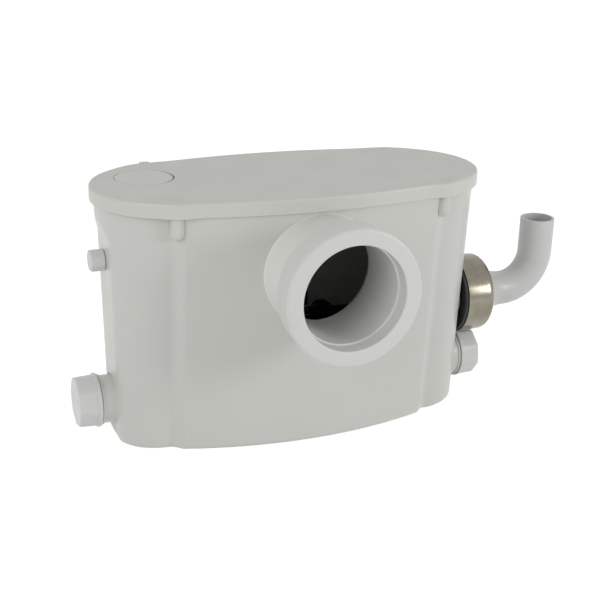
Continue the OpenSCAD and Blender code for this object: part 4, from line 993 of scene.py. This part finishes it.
def seen_directly(tree):
    """1 for what the camera sees, straight, in a mirror or through glass, and 0 for light on its way."""
    path = add_node(tree, "ShaderNodeLightPath").outputs
    seen = add_node(
        tree, "ShaderNodeMath", links={0: path["Is Camera Ray"], 1: path["Is Glossy Ray"]}, operation="ADD")
    seen = add_node(
        tree, "ShaderNodeMath", links={0: seen.outputs[0], 1: path["Is Transmission Ray"]},
        operation="ADD", use_clamp=True)
    return seen.outputs[0]


bpy.ops.object.select_all(action="DESELECT")
bpy.ops.mesh.primitive_circle_add(vertices=96, radius=floor_r, fill_type="NGON")
floor = bpy.context.object
floor.name = "studio_floor"
paper = bpy.data.materials.new("white_studio_paper")
paper.use_nodes = True
tree = paper.node_tree
tree.nodes.remove(tree.nodes["Principled BSDF"])
glow_strength = add_node(tree, "ShaderNodeMath", {1: floor_glow}, {0: seen_directly(tree)}, operation="MULTIPLY")
paper_shade = add_node(tree, "ShaderNodeBsdfDiffuse", {"Color": linear("#f2f2f2")})
glow = add_node(tree, "ShaderNodeEmission", {"Color": (1, 1, 1, 1)}, {"Strength": glow_strength.outputs[0]})
both = add_node(tree, "ShaderNodeAddShader", links={0: paper_shade.outputs[0], 1: glow.outputs[0]})
tree.links.new(both.outputs[0], tree.nodes["Material Output"].inputs["Surface"])
floor.data.materials.append(paper)

world = bpy.data.worlds.new("studio")
bpy.context.scene.world = world
world.use_nodes = True
tree = world.node_tree
surround = add_node(
    tree, "ShaderNodeMapRange", {"To Min": surround_light, "To Max": 1}, {"Value": seen_directly(tree)})
tree.nodes["Background"].inputs["Color"].default_value = (1, 1, 1, 1)
tree.links.new(surround.outputs[0], tree.nodes["Background"].inputs["Strength"])


def soft_lamp(name, place, size, power):
    """A square soft lamp at a place, turned to the object, with its size in metres and its power in watts."""
    light = bpy.data.lights.new(name, "AREA")
    light.size = size
    light.energy = power
    lamp = bpy.data.objects.new(name, light)
    bpy.context.scene.collection.objects.link(lamp)
    lamp.location = place
    lamp.rotation_euler = (lamp_target - Vector(place)).to_track_quat("-Z", "Y").to_euler()


soft_lamp("left_lamp", (-1.3, -0.75, 0.75), size=0.9, power=6)
soft_lamp("right_front_lamp", (1.15, -1.12, 0.6), size=0.45, power=6.4)

# Camera
# Set where the photograph was taken from: in front, to the left and above, with a slight roll. The view
# transform is plain, so that colours come out about as they are written.
camera_place = Vector((-0.41566, -1.06191, 0.55131))
camera_target = Vector((0.01381, 0, 0.12213))
camera_roll = 1.54
lens = bpy.data.cameras.new("camera")
lens.sensor_width = 36
lens.lens = 71.02
camera = bpy.data.objects.new("camera", lens)
bpy.context.scene.collection.objects.link(camera)
camera.location = camera_place
aim = (camera_target - camera_place).to_track_quat("-Z", "Y")
camera.rotation_euler = (aim @ Quaternion((0, 0, 1), math.radians(camera_roll))).to_euler()
bpy.context.scene.camera = camera
bpy.context.scene.view_settings.view_transform = "Standard"
